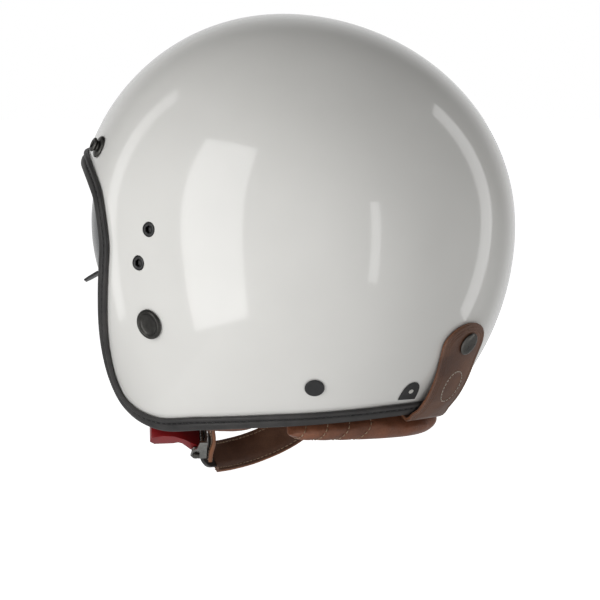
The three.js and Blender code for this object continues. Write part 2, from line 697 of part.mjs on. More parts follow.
// Sections along a folded centre line: outer side first, then inner side.
function foldSections(line, starting, across) {
  return line.map(([out, up], i) => {
    const from = line[Math.max(i - 1, 0)];
    const to = line[Math.min(i + 1, line.length - 1)];
    const along = new THREE.Vector2(to[0] - from[0], to[1] - from[1]);
    if (i === 0) along.set(...starting);
    const side = new THREE.Vector2(-along.y, along.x).normalize().multiplyScalar(FLAP_THICKNESS / 2);
    const place = (u, sign) => besideEdge(
      Math.atan2(u * FLAP_HALF_WIDTH, 100), out + sign * side.x, up + sign * side.y);
    return [...across.map((u) => place(u, 1)), ...across.toReversed().map((u) => place(u, -1))];
  });
}

function goggleStrap() {
  const heights = [-52.3, -54, -57, -61, -66, -72, -80, -86, -90, -94, -98, -101];
  const hole = [[0, -3], [6, -3], [6, 9], [0, 9]];
  const across = [-1, -0.5, 0, 0.5, 1];
  const sections = [...heights.map(flapSection), ...foldSections(FLAP_END, DOWN_TRIM, across)];
  return cut(loft(sections), onSurface(hole, 20, SNAP_REAR));
}

// The strap's root turns under the trim and is sewn in above the neck roll.
function goggleStrapRoot() {
  return loft(foldSections(ROOT_FOLD, [-1, -0.1], [-1, -0.33, 0.33, 1]));
}

const SNAP_CAP = [
  [4.1, 1.3], [5.6, 1.3], [5.6, FLAP_THICKNESS + 0.9], [7, FLAP_THICKNESS + 0.9], [7, FLAP_THICKNESS + 1.5],
  [6.3, FLAP_THICKNESS + 2.1], [0, FLAP_THICKNESS + 2.4], [0, FLAP_THICKNESS + 1.2],
  [4.1, FLAP_THICKNESS + 1.2],
];
add('goggle_strap', goggleStrap(), brownLeather, goggleFlap);
add('goggle_snap_cap', onSurface(SNAP_CAP, 18, SNAP_REAR), gunmetal, goggleFlap);
add('goggle_strap_root', goggleStrapRoot(), brownLeather);

// ---- Chin strap ----

// A flat strap through hand-placed points. Each point also gives the direction of the
// side that faces the wearer's skin, so the strap can turn as it goes.
function strap(route, width, thickness, steps) {
  const curve = new THREE.CatmullRomCurve3(route.map((r) => r.at), false, 'centripetal');
  const facing = new THREE.CatmullRomCurve3(route.map((r) => r.skin), false, 'centripetal');
  const sections = [];
  for (let i = 0; i <= steps; i += 1) {
    const t = i / steps;
    const at = curve.getPoint(t);
    const along = curve.getTangent(t);
    const across = facing.getPoint(t).cross(along).normalize();
    const skin = along.clone().cross(across).normalize();
    const corner = (u, v) =>
      at.clone().addScaledVector(across, u * width / 2).addScaledVector(skin, v * thickness / 2);
    sections.push([corner(-1, -1), corner(0, -1), corner(1, -1), corner(1, 1), corner(0, 1), corner(-1, 1)]);
  }
  return loft(sections);
}

const routePoint = (x, y, z, ...skin) => ({
  at: new THREE.Vector3(x, y, z),
  skin: new THREE.Vector3(...skin),
});
const depthPoint = (y, z, depth) => {
  const p = besideShell(y, z);
  return { at: inward(p, depth), skin: shellNormal(p).negate() };
};
const flipRoute = (route, side) => route.map((r) => ({
  at: mirrored(r.at, side),
  skin: mirrored(r.skin, side),
}));

// The front leg runs from the dished rivet down inside the shell, the rear one from the
// plug forward and down. Both end at the jaw, one on the other.
function strapLeg(place, side, route, thickness) {
  const p = onShell(place);
  const outward = shellNormal(p);
  const hole = turned([[0, -12], [3.1, -12], [3.1, 4], [0, 4]], 12);
  return cut(
    strap(flipRoute(route, side), 16, thickness, 10),
    stand(hole, mirrored(p, side), mirrored(outward, side)));
}

const FRONT_LEG = [
  depthPoint(-16.6, -44, 6.4), depthPoint(-16, -60, 6.4), depthPoint(-14, -85, 6.6), depthPoint(-12, -103, 8),
];
const REAR_LEG = [
  depthPoint(79, -85, 6.3), depthPoint(66, -90.5, 6.4), depthPoint(48, -96.5, 7.9), depthPoint(28, -102, 8.1),
  depthPoint(4, -106, 8.4),
];

for (const [name, side] of [['left', 1], ['right', -1]]) {
  add(`strap_leg_front_${name}`, strapLeg(RIVET_FRONT, side, FRONT_LEG, LEG_THICKNESS), strapWebbing, chinStrap);
  add(`strap_leg_rear_${name}`, strapLeg(RIVET_REAR, side, REAR_LEG, LEG_THICKNESS), strapWebbing, chinStrap);
}

// ---- Quick release buckle ----

// The buckle's own axes: along the strap to its mouth, across the strap, and out on the
// side of the lever. The origin is the middle of the mouth, on the base plate.
const MOUTH = new THREE.Vector3(42.5, -27.5, -131);
const TO_MOUTH = new THREE.Vector3(-0.62, -0.5, -0.605).normalize();
const LEVER_SIDE = new THREE.Vector3(0.628, -0.778, 0).normalize();
const ACROSS = LEVER_SIDE.clone().cross(TO_MOUTH);
const BUCKLE_AXES = new THREE.Matrix4().makeBasis(TO_MOUTH, ACROSS, LEVER_SIDE).setPosition(MOUTH);
const PIN_PLACE = [-4, 6.4];
const PIN_RADIUS = 1.4;
const HOUSING_WIDTH = 18;
const HOUSING_LENGTH = 18;
const PLATE = 1.2;

const inBuckle = (x, y, z) => new THREE.Vector3(x, y, z).applyMatrix4(BUCKLE_AXES);

// Extrudes a side profile drawn in [along, out] between two places across the strap.
function acrossBuckle(profile, from, to, holes = []) {
  const shape = new THREE.Shape(profile.map(([x, z]) => new THREE.Vector2(x, z)));
  for (const [x, z, radius] of holes) {
    const hole = new THREE.Path();
    hole.absarc(x, z, radius, 0, 2 * Math.PI, true);
    shape.holes.push(hole);
  }
  const geometry = new THREE.ExtrudeGeometry(shape, { depth: to - from, bevelEnabled: false, curveSegments: 8 });
  const turn = new THREE.Matrix4().makeRotationX(Math.PI / 2);
  return geometry.applyMatrix4(turn).translate(0, to, 0).applyMatrix4(BUCKLE_AXES);
}

function roundAcross(x, z, radius, from, to) {
  const geometry = new THREE.CylinderGeometry(radius, radius, to - from, 16);
  return geometry.translate(x, (from + to) / 2, z).applyMatrix4(BUCKLE_AXES);
}

function buckleHousing() {
  const half = HOUSING_WIDTH / 2;
  const cheek = [
    [-HOUSING_LENGTH, 0], [0, 0], [0.4, 4], [-0.6, 8], [-3, 9.6], [-6.5, 9], [-10, 6], [-HOUSING_LENGTH, 4.4],
  ];
  const base = [[-HOUSING_LENGTH, 0], [0, 0], [0, PLATE], [-HOUSING_LENGTH, PLATE]];
  const pieces = [
    acrossBuckle(base, -half, half),
    acrossBuckle(cheek, -half, -half + PLATE),
    acrossBuckle(cheek, half - PLATE, half),
    roundAcross(-HOUSING_LENGTH + 2.6, 3, 1.3, -half + 0.4, half - 0.4),
  ];
  const joined = pieces.map(solidFrom).reduce((all, piece) => all.add(piece));
  return geometryFrom(joined.subtract(solidFrom(roundAcross(...PIN_PLACE, PIN_RADIUS + CONTACT_GAP, -20, 20))));
}

function bucklePin() {
  const end = HOUSING_WIDTH / 2 + 0.4;
  const head = (from) => solidFrom(roundAcross(...PIN_PLACE, 2.2, from, from + 0.9));
  const shank = solidFrom(roundAcross(...PIN_PLACE, PIN_RADIUS, -end - 0.2, end + 0.2));
  return geometryFrom(shank.add(head(end)).add(head(-end - 0.9)));
}

// The lever's arm rises from its eye on the pin and ends in a thick finger tab.
const LEVER_PROFILE = [
  [-6.8, 4.1], [-5.2, 3.75], [-4, 3.7], [-2.6, 4.1], [-1.5, 5.4], [-1.3, 7], [-2.4, 9.4], [-9.4, 14.6],
  [-10.6, 17], [-9.6, 20], [-9, 31], [-11.5, 33.8], [-16, 33], [-18.2, 26], [-17.4, 19.5], [-14, 13.6],
  [-10.4, 9.6], [-8, 6.5],
];

function ratchetTongue() {
  const skin = LEVER_SIDE.clone().negate();
  const route = [
    { at: inBuckle(-7, 0, 2.5), skin }, { at: inBuckle(4.5, 0, 2.5), skin },
    routePoint(36, -35, -137.5, -0.5, 0.8, 0.3), routePoint(28, -38.5, -140.2, -0.2, 0.85, 0.45),
    routePoint(19, -40.8, -141.2, 0, 0.85, 0.5),
  ];
  return strap(route, 13, 1.8, 14);
}

// ---- Chin strap from the legs, through a slot in each cheek pad, to the buckle ----

const JAW_ROUTE = [
  depthPoint(-12, -104.5, 8.1),
  routePoint(71, -13, -110.5, -0.5, 0.1, 0.86),
  routePoint(62, -15.5, -115.5, -0.55, 0.4, 0.7),
];
const LEFT_ROUTE = [
  ...JAW_ROUTE,
  { at: inBuckle(-15, 0, -3.6), skin: LEVER_SIDE.clone().negate() },
  { at: inBuckle(-6, 0, -2.6), skin: LEVER_SIDE.clone().negate() },
  { at: inBuckle(3, 0, -2.4), skin: LEVER_SIDE.clone().negate() },
];
const RIGHT_ROUTE = [
  ...flipRoute(JAW_ROUTE, -1),
  routePoint(-53, -20.5, -122.5, 0.5, 0.65, 0.55), routePoint(-41, -30, -132, 0.35, 0.8, 0.5),
  routePoint(-22, -39, -139, 0.1, 0.85, 0.5), routePoint(0, -42.2, -141.5, 0, 0.85, 0.5),
  routePoint(18.4, -41, -141.3, 0, 0.85, 0.5),
];

add('chin_strap_left', strap(LEFT_ROUTE, STRAP_WIDTH, STRAP_THICKNESS, 16), brownLeather, chinStrap);
add('chin_strap_right', strap(RIGHT_ROUTE, STRAP_WIDTH, STRAP_THICKNESS, 26), brownLeather, chinStrap);
add('buckle_housing', buckleHousing(), steel, chinStrap);
add('buckle_pin', bucklePin(), steel, chinStrap);
const PIN_HOLE = [...PIN_PLACE, PIN_RADIUS + CONTACT_GAP];
add('buckle_lever', acrossBuckle(LEVER_PROFILE, -6.9, 4.2, [PIN_HOLE]), redPlastic, chinStrap);
add('lever_spring', acrossBuckle(
  Array.from({ length: 12 }, (_, i) => {
    const angle = i * Math.PI / 6;
    return [PIN_PLACE[0] + 2.7 * Math.cos(angle), PIN_PLACE[1] + 2.7 * Math.sin(angle)];
  }),
  4.6, 7.4, [[...PIN_PLACE, PIN_RADIUS + CONTACT_GAP]]), steel, chinStrap);
add('ratchet_tongue', ratchetTongue(), blackNylon, chinStrap);

for (const [name, side, route] of [['left', 1, LEFT_ROUTE], ['right', -1, RIGHT_ROUTE]]) {
  const slot = strap(route, STRAP_WIDTH + 3, STRAP_THICKNESS + 2, 16);
  add(`cheek_pad_${name}`, cut(cheekPad(side), slot), brownLeather);
}

export default model;
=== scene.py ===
# Open face motorcycle helmet with an inner sun visor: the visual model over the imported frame.
import itertools
import math

import bmesh
import bpy
import numpy as np
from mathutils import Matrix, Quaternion, Vector
from mathutils.bvhtree import BVHTree

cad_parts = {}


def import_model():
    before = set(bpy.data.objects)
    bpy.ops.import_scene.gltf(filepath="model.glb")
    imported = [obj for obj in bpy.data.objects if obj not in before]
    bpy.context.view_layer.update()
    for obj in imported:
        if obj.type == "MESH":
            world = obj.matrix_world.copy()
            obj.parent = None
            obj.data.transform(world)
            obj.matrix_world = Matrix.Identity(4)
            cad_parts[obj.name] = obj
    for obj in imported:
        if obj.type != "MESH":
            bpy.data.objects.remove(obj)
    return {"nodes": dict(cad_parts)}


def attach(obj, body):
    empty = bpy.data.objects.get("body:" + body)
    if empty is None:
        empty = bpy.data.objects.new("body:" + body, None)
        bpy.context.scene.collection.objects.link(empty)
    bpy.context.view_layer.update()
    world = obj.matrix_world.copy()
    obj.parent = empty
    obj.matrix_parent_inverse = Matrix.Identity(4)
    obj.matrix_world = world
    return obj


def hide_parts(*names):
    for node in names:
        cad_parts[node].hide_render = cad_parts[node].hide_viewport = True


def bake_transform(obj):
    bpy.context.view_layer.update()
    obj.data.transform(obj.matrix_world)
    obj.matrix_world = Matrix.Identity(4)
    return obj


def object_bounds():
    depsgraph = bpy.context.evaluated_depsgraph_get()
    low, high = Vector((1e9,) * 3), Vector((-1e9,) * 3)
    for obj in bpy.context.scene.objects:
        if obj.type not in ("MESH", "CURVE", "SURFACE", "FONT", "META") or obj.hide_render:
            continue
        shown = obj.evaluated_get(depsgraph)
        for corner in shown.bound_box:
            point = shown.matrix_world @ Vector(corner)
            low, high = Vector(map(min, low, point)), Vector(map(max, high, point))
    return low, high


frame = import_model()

CAD_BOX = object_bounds()
MM = 0.001
FLOOR_GAP = 0.0005
# Points nearer than this, in metres, are one point.
WELD = 1e-6
SCENE = bpy.context.scene

# ---- The shell's shape, in millimetres ----

SIDE, FRONT, BACK, CROWN, JAW, NAPE = 120.0, 125.0, 146.0, 125.4, 191.0, 146.0
FRONT_TO_BACK_BLEND = 65.0
CROWN_TO_JAW_BLEND = 45.0
SHELL_THICKNESS = 4.0

VISOR_PIVOT = np.array([0.0, -11.5, 2.0])
VISOR_RADIUS = 104.7
VISOR_HALF_WIDTH = 109.5
VISOR_THICKNESS = 2.2
LENS_EDGE_EASE = 0.35
LENS_HALF_ANGLE = 60.0
LENS_TOP_ANGLE = 31.0
LENS_LOBE_ANGLE = -20.4
LENS_NOSE_ANGLE = -5.5

SCREW_UPPER = np.array([119.5, -11.5, 2.0])
SCREW_LOWER = np.array([117.7, -20.3, -17.7])
RIVET_FRONT = np.array([112.4, -16.2, -53.2])
RIVET_REAR = np.array([74.3, 73.2, -88.2])
SNAP_SIDE = np.array([90.7, -69.1, 47.6])
SNAP_CENTRE = np.array([0.0, -110.0, 57.5])
SNAP_REAR = np.array([3.4, 129.0, -63.2])
LABEL = np.array([26.0, 106.0, -92.0])

SHELL_EDGE = [
    (0, -118.5, 39.8), (46, -108.5, 38.6), (84.4, -83.5, 35), (98.3, -68.5, 26.8), (105.7, -58.6, 16.5),
    (109.7, -51.7, -6.5), (107.8, -53.6, -20.9), (103.2, -57.9, -39.1), (91.4, -64.9, -70),
    (83.1, -65.6, -89.3), (79.7, -61.3, -101.4), (80.8, -51.4, -109.2), (84.3, -29.2, -115),
    (85.8, 0, -113.3), (76.4, 37.7, -110.4), (62, 64.8, -108.3), (45.9, 83.3, -106.4),
    (27.1, 96, -104.6), (0, 102, -103),
]
CROWN_PAD_EDGE = [
    (0, -110, 57), (46, -102, 55), (84, -75, 46), (103, -50, 26), (114, -34, 2),
    (118, -14, -12), (118, 12, -14), (113, 42, -18), (98, 72, -38), (76, 96, -54),
    (46, 116, -62), (0, 128, -64),
]


def ease(t):
    return 0.5 * (1 + t / np.hypot(1, t))


def smoothstep(t, low, high):
    t = np.clip((t - low) / (high - low), 0, 1)
    return t * t * (3 - 2 * t)


def unit(v):
    v = np.asarray(v, float)
    return v / np.linalg.norm(v, axis=-1, keepdims=True)


def shell_field(p):
    """Less than 1 inside the shell's outer surface, 1 on it and more outside."""
    x, y, z = p[..., 0], p[..., 1], p[..., 2]
    back, up = ease(y / FRONT_TO_BACK_BLEND), ease(z / CROWN_TO_JAW_BLEND)
    along_y = (1 - back) / FRONT ** 2 + back / BACK ** 2
    below = (1 - back) / JAW ** 2 + back / NAPE ** 2
    along_z = (1 - up) * below + up / CROWN ** 2
    return (x / SIDE) ** 2 + y ** 2 * along_y + z ** 2 * along_z


def crossing(place, shape, low, high):
    """The points where place(distance) leaves the shell's inside, between two distances."""
    inside, outside = np.full(shape, low), np.full(shape, high)
    for _ in range(40):
        middle = (inside + outside) / 2
        within = shell_field(place(middle)) < 1
        inside, outside = np.where(within, middle, inside), np.where(within, outside, middle)
    return place(inside)


def on_shell(toward):
    """The shell's points in given directions from the middle of the head."""
    direction = unit(toward)
    return crossing(lambda reach: direction * reach[..., None], direction.shape[:-1], 40.0, 260.0)


def shell_normal(p):
    h = 0.05
    slope = [shell_field(p + step) - shell_field(p - step) for step in np.eye(3) * h]
    return unit(np.stack(slope, -1))


def inward(p, depth):
    return p - shell_normal(p) * np.asarray(depth)[..., None]


def at_depth(toward, depth):
    return inward(on_shell(toward), depth)


def level_inward(p, depth):
    """Moves a point of the shell inward without changing its height."""
    normal = shell_normal(p)
    level = normal * [1, 1, 0]
    return p - level * (np.asarray(depth)[..., None] / (level ** 2).sum(-1, keepdims=True))


def beside_shell(y, z):
    y, z = np.broadcast_arrays(np.asarray(y, float), np.asarray(z, float))
    p = np.stack([np.zeros_like(y), y, z], -1)
    p[..., 0] = SIDE * np.sqrt(np.maximum(1 - shell_field(p), 0.01))
    return p


def behind_shell(angle, z):
    """The shell's point behind the head at an angle from straight back and a height."""
    angle, z = np.broadcast_arrays(np.asarray(angle, float), np.asarray(z, float))
    return crossing(lambda reach: np.stack([reach * np.sin(angle), reach * np.cos(angle), z], -1),
                    z.shape, 20.0, 200.0)


def edge_height_behind(angle):
    """Height of the shell's edge behind the head."""
    return -100.7 - np.hypot(2.3, np.degrees(angle) * 0.165)


def beside_edge(angle, outward, up):
    """A point given as outward and up from the shell's edge behind the head."""
    edge = behind_shell(angle, edge_height_behind(angle))
    p = edge + unit(shell_normal(edge) * [1, 1, 0]) * np.asarray(outward, float)[..., None]
    p[..., 2] = edge[..., 2] + up
    return p


def mirrored(p, side):
    return np.asarray(p) * [side, 1, 1]


# ---- Curves ----

def catmull_rom(points, closed, per_span=24):
    """A centripetal Catmull-Rom curve through points, as closely spaced samples."""
    points = np.asarray(points, float)
    count = len(points)
    spans = count if closed else count - 1
    out = []
    for i in range(spans):
        p1, p2 = points[i], points[(i + 1) % count]
        p0 = points[i - 1] if closed or i > 0 else 2 * points[0] - points[1]
        p3 = points[(i + 2) % count] if closed or i + 2 < count else 2 * points[-1] - points[-2]
        d0, d1, d2 = (max(np.linalg.norm(b - a) ** 0.5, 1e-4) for a, b in ((p0, p1), (p1, p2), (p2, p3)))
        t1 = ((p1 - p0) / d0 - (p2 - p0) / (d0 + d1) + (p2 - p1) / d1) * d1
        t2 = ((p2 - p1) / d1 - (p3 - p1) / (d1 + d2) + (p3 - p2) / d2) * d1
        t = np.arange(per_span)[:, None] / per_span
        square, cube = -3 * p1 + 3 * p2 - 2 * t1 - t2, 2 * p1 - 2 * p2 + t1 + t2
        out.append(p1 + t1 * t + square * t ** 2 + cube * t ** 3)
    if not closed:
        out.append(points[-1:])
    return np.vstack(out)


def spaced(path, count, closed):
    """Points at even distances along a dense path."""
    path = np.vstack([path, path[:1]]) if closed else path
    run = np.concatenate([[0], np.cumsum(np.linalg.norm(np.diff(path, axis=0), axis=1))])
    at = np.linspace(0, run[-1], count + 1)[:-1] if closed else np.linspace(0, run[-1], count)
    return np.stack([np.interp(at, run, path[:, k]) for k in range(path.shape[1])], -1)


def path_length(path):
    return np.linalg.norm(np.diff(path, axis=0), axis=1).sum()


def edge_curve(half, count):
    """An even closed curve through an edge that is given for the left half."""
    left = np.array(half, float)
    right = left[1:-1][::-1] * [-1, 1, 1]
    return spaced(catmull_rom(np.vstack([left, right]), True), count, True)


# ---- Meshes ----

def welded(mesh, distance, *steps):
    """Joins doubled points, then runs the given steps on the mesh."""
    work = bmesh.new()
    work.from_mesh(mesh)
    bmesh.ops.remove_doubles(work, verts=work.verts, dist=distance)
    for step in steps:
        step(work)
    work.to_mesh(mesh)
    work.free()


def faces_out(work):
    bmesh.ops.recalc_face_normals(work, faces=work.faces)


def without_slivers(work):
    bmesh.ops.dissolve_degenerate(work, edges=work.edges, dist=WELD)


def without_flat_edges(work):
    bmesh.ops.dissolve_limit(work, angle_limit=math.radians(2), verts=work.verts, edges=work.edges)


def placed(name, mesh):
    obj = bpy.data.objects.new(name, mesh)
    SCENE.collection.objects.link(obj)
    return obj


def smooth_faces(mesh):
    mesh.polygons.foreach_set("use_smooth", [True] * len(mesh.polygons))


def vectors(mesh, source="vertices", field="co"):
    """The points of a mesh, or its points' normals, as rows."""
    values = np.empty(len(mesh.vertices) * 3)
    getattr(mesh, source).foreach_get(field, values)
    return values.reshape(-1, 3)


def set_points(mesh, points):
    mesh.vertices.foreach_set("co", points.ravel())
    mesh.update()


def make(name, verts, faces, materials, sharp=35, kinds=None):
    """A Blender object from points in millimetres. kinds gives each face's material number."""
    mesh = bpy.data.meshes.new(name)
    faces = [tuple(int(i) for i in face) for face in faces]
    mesh.from_pydata([tuple(v) for v in np.asarray(verts) * MM], [], faces)
    for material in materials if isinstance(materials, (list, tuple)) else [materials]:
        mesh.materials.append(material)
    smooth_faces(mesh)
    if kinds is not None:
        mesh.polygons.foreach_set("material_index", [int(k) for k in kinds])
    mesh.validate()
    welded(mesh, WELD, faces_out)
    mesh.set_sharp_from_angle(angle=math.radians(sharp))
    return placed(name, mesh)


def settle(obj, body, slot, *nodes):
    """Rides a finished piece on its body and hides the nodes it stands for."""
    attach(obj, body)
    if nodes:
        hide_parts(*nodes)
    return obj


def loft_faces(rows, around, closed_rows, closed_around=True):
    """Four-cornered faces between rows of points, as numbers of points."""
    i, j = np.meshgrid(np.arange(rows if closed_rows else rows - 1),
                       np.arange(around if closed_around else around - 1), indexing="ij")
    near, far = i * around, (i + 1) % rows * around
    after = (j + 1) % around
    return np.stack([near + j, near + after, far + after, far + j], -1).reshape(-1, 4)


def loft(sections, closed=False):
    """A body through sections of equal counts, with flat ends unless it is closed."""
    sections = np.asarray(sections, float)
    rows, around = sections.shape[:2]
    faces = loft_faces(rows, around, closed).tolist()
    if not closed:
        faces.append(list(range(around)))
        faces.append([(rows - 1) * around + j for j in range(around)][::-1])
    return sections.reshape(-1, 3), faces


def joined(parts):
    """Several (points, faces) pairs as one pair."""
    verts, faces, shift = [], [], 0
    for points, polygons in parts:
        verts.append(np.asarray(points, float))
        faces.extend([[shift + i for i in f] for f in polygons])
        shift += len(points)
    return np.vstack(verts), faces


def frame_from(direction):
    """Two unit directions across a direction, the second one as upright as it can be."""
    direction = unit(direction)
    helper = np.array([0.0, 0.0, 1.0]) if abs(direction[2]) < 0.9 else np.array([0.0, 1.0, 0.0])
    across = unit(np.cross(helper, direction))
    return across, np.cross(direction, across)


def turned(profile, place, direction, segments=64):
    """A turned body about a direction. Profile rows are (radius, height) or, for a hexagonal
    ring, (radius, height, 6)."""
    across, up = frame_from(direction)
    direction = unit(direction)
    angle = np.arange(segments) / segments * 2 * math.pi
    rows = []
    for row in profile:
        radius = np.full(segments, float(row[0]))
        if len(row) == 3:
            wedge = (angle + math.pi / row[2]) % (2 * math.pi / row[2]) - math.pi / row[2]
            radius = radius * math.cos(math.pi / row[2]) / np.cos(wedge)
        ring = place + radius[:, None] * (np.cos(angle)[:, None] * across + np.sin(angle)[:, None] * up)
        rows.append(ring + row[1] * direction)
    return loft(rows)


def rounded_profile(points, radius, steps=4):
    """A polyline with its inner corners rounded."""
    points = [np.array(p, float) for p in points]
    out = [points[0]]
    for before, corner, after in zip(points, points[1:], points[2:]):
        a, b = before - corner, after - corner
        reach = min(radius, 0.45 * np.linalg.norm(a), 0.45 * np.linalg.norm(b))
        a, b = corner + a / np.linalg.norm(a) * reach, corner + b / np.linalg.norm(b) * reach
        for k in range(steps + 1):
            t = k / steps
            out.append((1 - t) ** 2 * a + 2 * t * (1 - t) * corner + t ** 2 * b)
    out.append(points[-1])
    return out


def rounded_loop(points, radius, steps=4):
    """A closed outline with all its corners rounded."""
    points = [np.array(p, float) for p in points]
    ring = [points[-1]] + points + [points[0]]
    return np.array(rounded_profile(ring, radius, steps)[1:-1])


def tangents_of(path, closed):
    tangents = np.roll(path, -1, 0) - np.roll(path, 1, 0)
    if not closed:
        tangents[0], tangents[-1] = path[1] - path[0], path[-1] - path[-2]
    return unit(tangents)


def stitch_row(path, normals, pitch, length, width, height, closed=False):
    """Sewn stitches along a path: short rounded threads that dip at both ends."""
    path = np.asarray(path, float)
    total = path_length(np.vstack([path, path[:1]]) if closed else path)
    count = max(int(total / pitch), 2)
    both = spaced(np.hstack([path, normals]), count, closed)
    centres, normals = both[:, :3], unit(both[:, 3:])
    tangents = tangents_of(centres, closed)
    across = unit(np.cross(normals, tangents))
    rows = [(-0.5, 0.25, -0.6), (-0.42, 0.8, 0.1), (-0.2, 1.0, 0.75), (0, 1.0, 1.0),
            (0.2, 1.0, 0.75), (0.42, 0.8, 0.1), (0.5, 0.25, -0.6)]
    sides = 8
    angle = np.arange(sides) / sides * 2 * math.pi
    parts = []
    for at, t, n, a in zip(centres, tangents, normals, across):
        ring = np.cos(angle)[:, None] * a * width / 2 + np.sin(angle)[:, None] * n * height / 2
        rings = [at + t * s * length + n * (lift * height * 0.5) + fat * ring for s, fat, lift in rows]
        parts.append(loft(rings))
    return joined(parts)


def tube(path, radius, closed=False, sides=12):
    """A round tube along a path."""
    path = np.asarray(path, float)
    tangents = tangents_of(path, closed)
    across = frame_from(tangents[0])[0]
    angle = np.arange(sides) / sides * 2 * math.pi
    radius = np.broadcast_to(np.asarray(radius, float), (len(path),))
    rows = []
    for at, t, r in zip(path, tangents, radius):
        across = unit(across - t * (across @ t))
        up = np.cross(t, across)
        rows.append(at + r * (np.cos(angle)[:, None] * across + np.sin(angle)[:, None] * up))
    return loft(rows, closed)


def evaluated(obj):
    """The object's mesh with its modifiers applied, in their place."""
    graph = bpy.context.evaluated_depsgraph_get()
    mesh = bpy.data.meshes.new_from_object(obj.evaluated_get(graph))
    obj.modifiers.clear()
    old, obj.data = obj.data, mesh
    bpy.data.meshes.remove(old)
    return obj


def cut(obj, *tools):
    """Cuts bodies given as (points, faces) out of an object."""
    for number, (points, faces) in enumerate(tools):
        tool = make(f"cutter_{number}", points, faces, [])
        modifier = obj.modifiers.new("cut", "BOOLEAN")
        modifier.operation, modifier.solver, modifier.object = "DIFFERENCE", "EXACT", tool
        evaluated(obj)
        mesh = tool.data
        bpy.data.objects.remove(tool)
        bpy.data.meshes.remove(mesh)
    return obj


def node_copy(name, node, material, *steps):
    """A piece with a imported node's shape and another finish."""
    mesh = frame["nodes"][node].data.copy()
    mesh.materials.clear()
    mesh.materials.append(material)
    welded(mesh, 2 * WELD, *steps)
    mesh.polygons.foreach_set("material_index", [0] * len(mesh.polygons))
    return placed(name, mesh)


def fine_copy(name, node, material, width, segments=3, sharp=40):
    """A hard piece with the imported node's shape and its edges rounded."""
    obj = node_copy(name, node, material, without_flat_edges, faces_out)
    smooth_faces(obj.data)
    bevel = obj.modifiers.new("bevel", "BEVEL")
    bevel.width, bevel.segments = width * MM, segments
    bevel.limit_method, bevel.angle_limit = "ANGLE", math.radians(28)
    bevel.harden_normals = False
    evaluated(obj)
    smooth_faces(obj.data)
    obj.data.set_sharp_from_angle(angle=math.radians(sharp))
    return obj


# ---- Materials ----

class Nodes:
    """A material's nodes, with short calls for the ones that the finishes share."""

    def __init__(self, name):
        self.material = bpy.data.materials.new(name)
        self.material.use_nodes = True
        self.tree = self.material.node_tree
        self.shader = self.tree.nodes["Principled BSDF"]
        self.place = self.tree.nodes.new("ShaderNodeTexCoord").outputs["Object"]

    def link(self, source, target):
        self.tree.links.new(source, target)

    def node(self, kind, **values):
        made = self.tree.nodes.new(kind)
        for key, value in values.items():
            setattr(made, key, value)
        return made

    def set(self, **values):
        for key, value in values.items():
            self.shader.inputs[key.replace("_", " ")].default_value = value

    def noise(self, scale, detail=4.0, rough=0.55, stretch=None):
        made = self.node("ShaderNodeTexNoise")
        made.inputs["Scale"].default_value = scale
        made.inputs["Detail"].default_value = detail
        made.inputs["Roughness"].default_value = rough
        self.link(self.stretched(stretch), made.inputs["Vector"])
        return made.outputs["Fac"]

    def stretched(self, stretch):
        if stretch is None:
            return self.place
        mapping = self.node("ShaderNodeMapping")
        mapping.inputs["Scale"].default_value = stretch
        self.link(self.place, mapping.inputs["Vector"])
        return mapping.outputs["Vector"]

    def cells(self, scale):
        made = self.node("ShaderNodeTexVoronoi")
        made.inputs["Scale"].default_value = scale
        self.link(self.place, made.inputs["Vector"])
        return made.outputs["Distance"]

    def ramp(self, source, low, high, first, second):
        """Maps a value from low..high to first..second; pairs of colours or of numbers."""
        made = self.node("ShaderNodeValToRGB")
        made.color_ramp.elements[0].position = low
        made.color_ramp.elements[1].position = high
        for element, value in zip(made.color_ramp.elements, (first, second)):
            element.color = (*value, 1) if isinstance(value, (tuple, list)) else (value, value, value, 1)
        self.link(source, made.inputs["Fac"])
        return made.outputs["Color"]

    def mix(self, kind, factor, a, b):
        """Mixes two colours; each input is a node's output, a colour or a number."""
        made = self.node("ShaderNodeMix", data_type="RGBA", blend_type=kind)
        for index, value in ((0, factor), (6, a), (7, b)):
            if hasattr(value, "is_output"):
                self.link(value, made.inputs[index])
            elif isinstance(value, (tuple, list)):
                made.inputs[index].default_value = (*value, 1)
            else:
                made.inputs[index].default_value = value
        return made.outputs[2]

    def bump(self, source, depth, strength=1.0, after=None):
        """A bump of a real depth in millimetres, on top of another one."""
        made = self.node("ShaderNodeBump")
        made.inputs["Strength"].default_value = strength
        made.inputs["Distance"].default_value = depth * MM
        self.link(source, made.inputs["Height"])
        if after is not None:
            self.link(after, made.inputs["Normal"])
        return made.outputs["Normal"]

    def finish(self, colour=None, rough=None, normal=None):
        if colour is not None:
            self.link(colour, self.shader.inputs["Base Color"])
        if rough is not None:
            self.link(rough, self.shader.inputs["Roughness"])
        if normal is not None:
            self.link(normal, self.shader.inputs["Normal"])
        return self.material


def srgb(*levels):
    """A linear colour from 0-255 screen levels."""
    return tuple(((v / 255 + 0.055) / 1.055) ** 2.4 if v > 10 else v / 255 / 12.92 for v in levels)


def gloss_paint():
    n = Nodes("ivory_gloss_paint")
    colour = n.ramp(n.noise(9, 3), 0.35, 0.7, srgb(226, 225, 221), srgb(232, 231, 227))
    specks = n.ramp(n.noise(900, 2), 0.74, 0.8, 1.0, 0.93)
    colour = n.mix("MULTIPLY", 0.5, colour, specks)
    rough = n.ramp(n.noise(60, 5), 0.3, 0.75, 0.10, 0.16)
    peel = n.bump(n.noise(420, 2, 0.4), 0.006, 0.35)
    n.set(IOR=1.5, Coat_Weight=0.6, Coat_Roughness=0.03, Coat_IOR=1.5)
    return n.finish(colour, rough, peel)


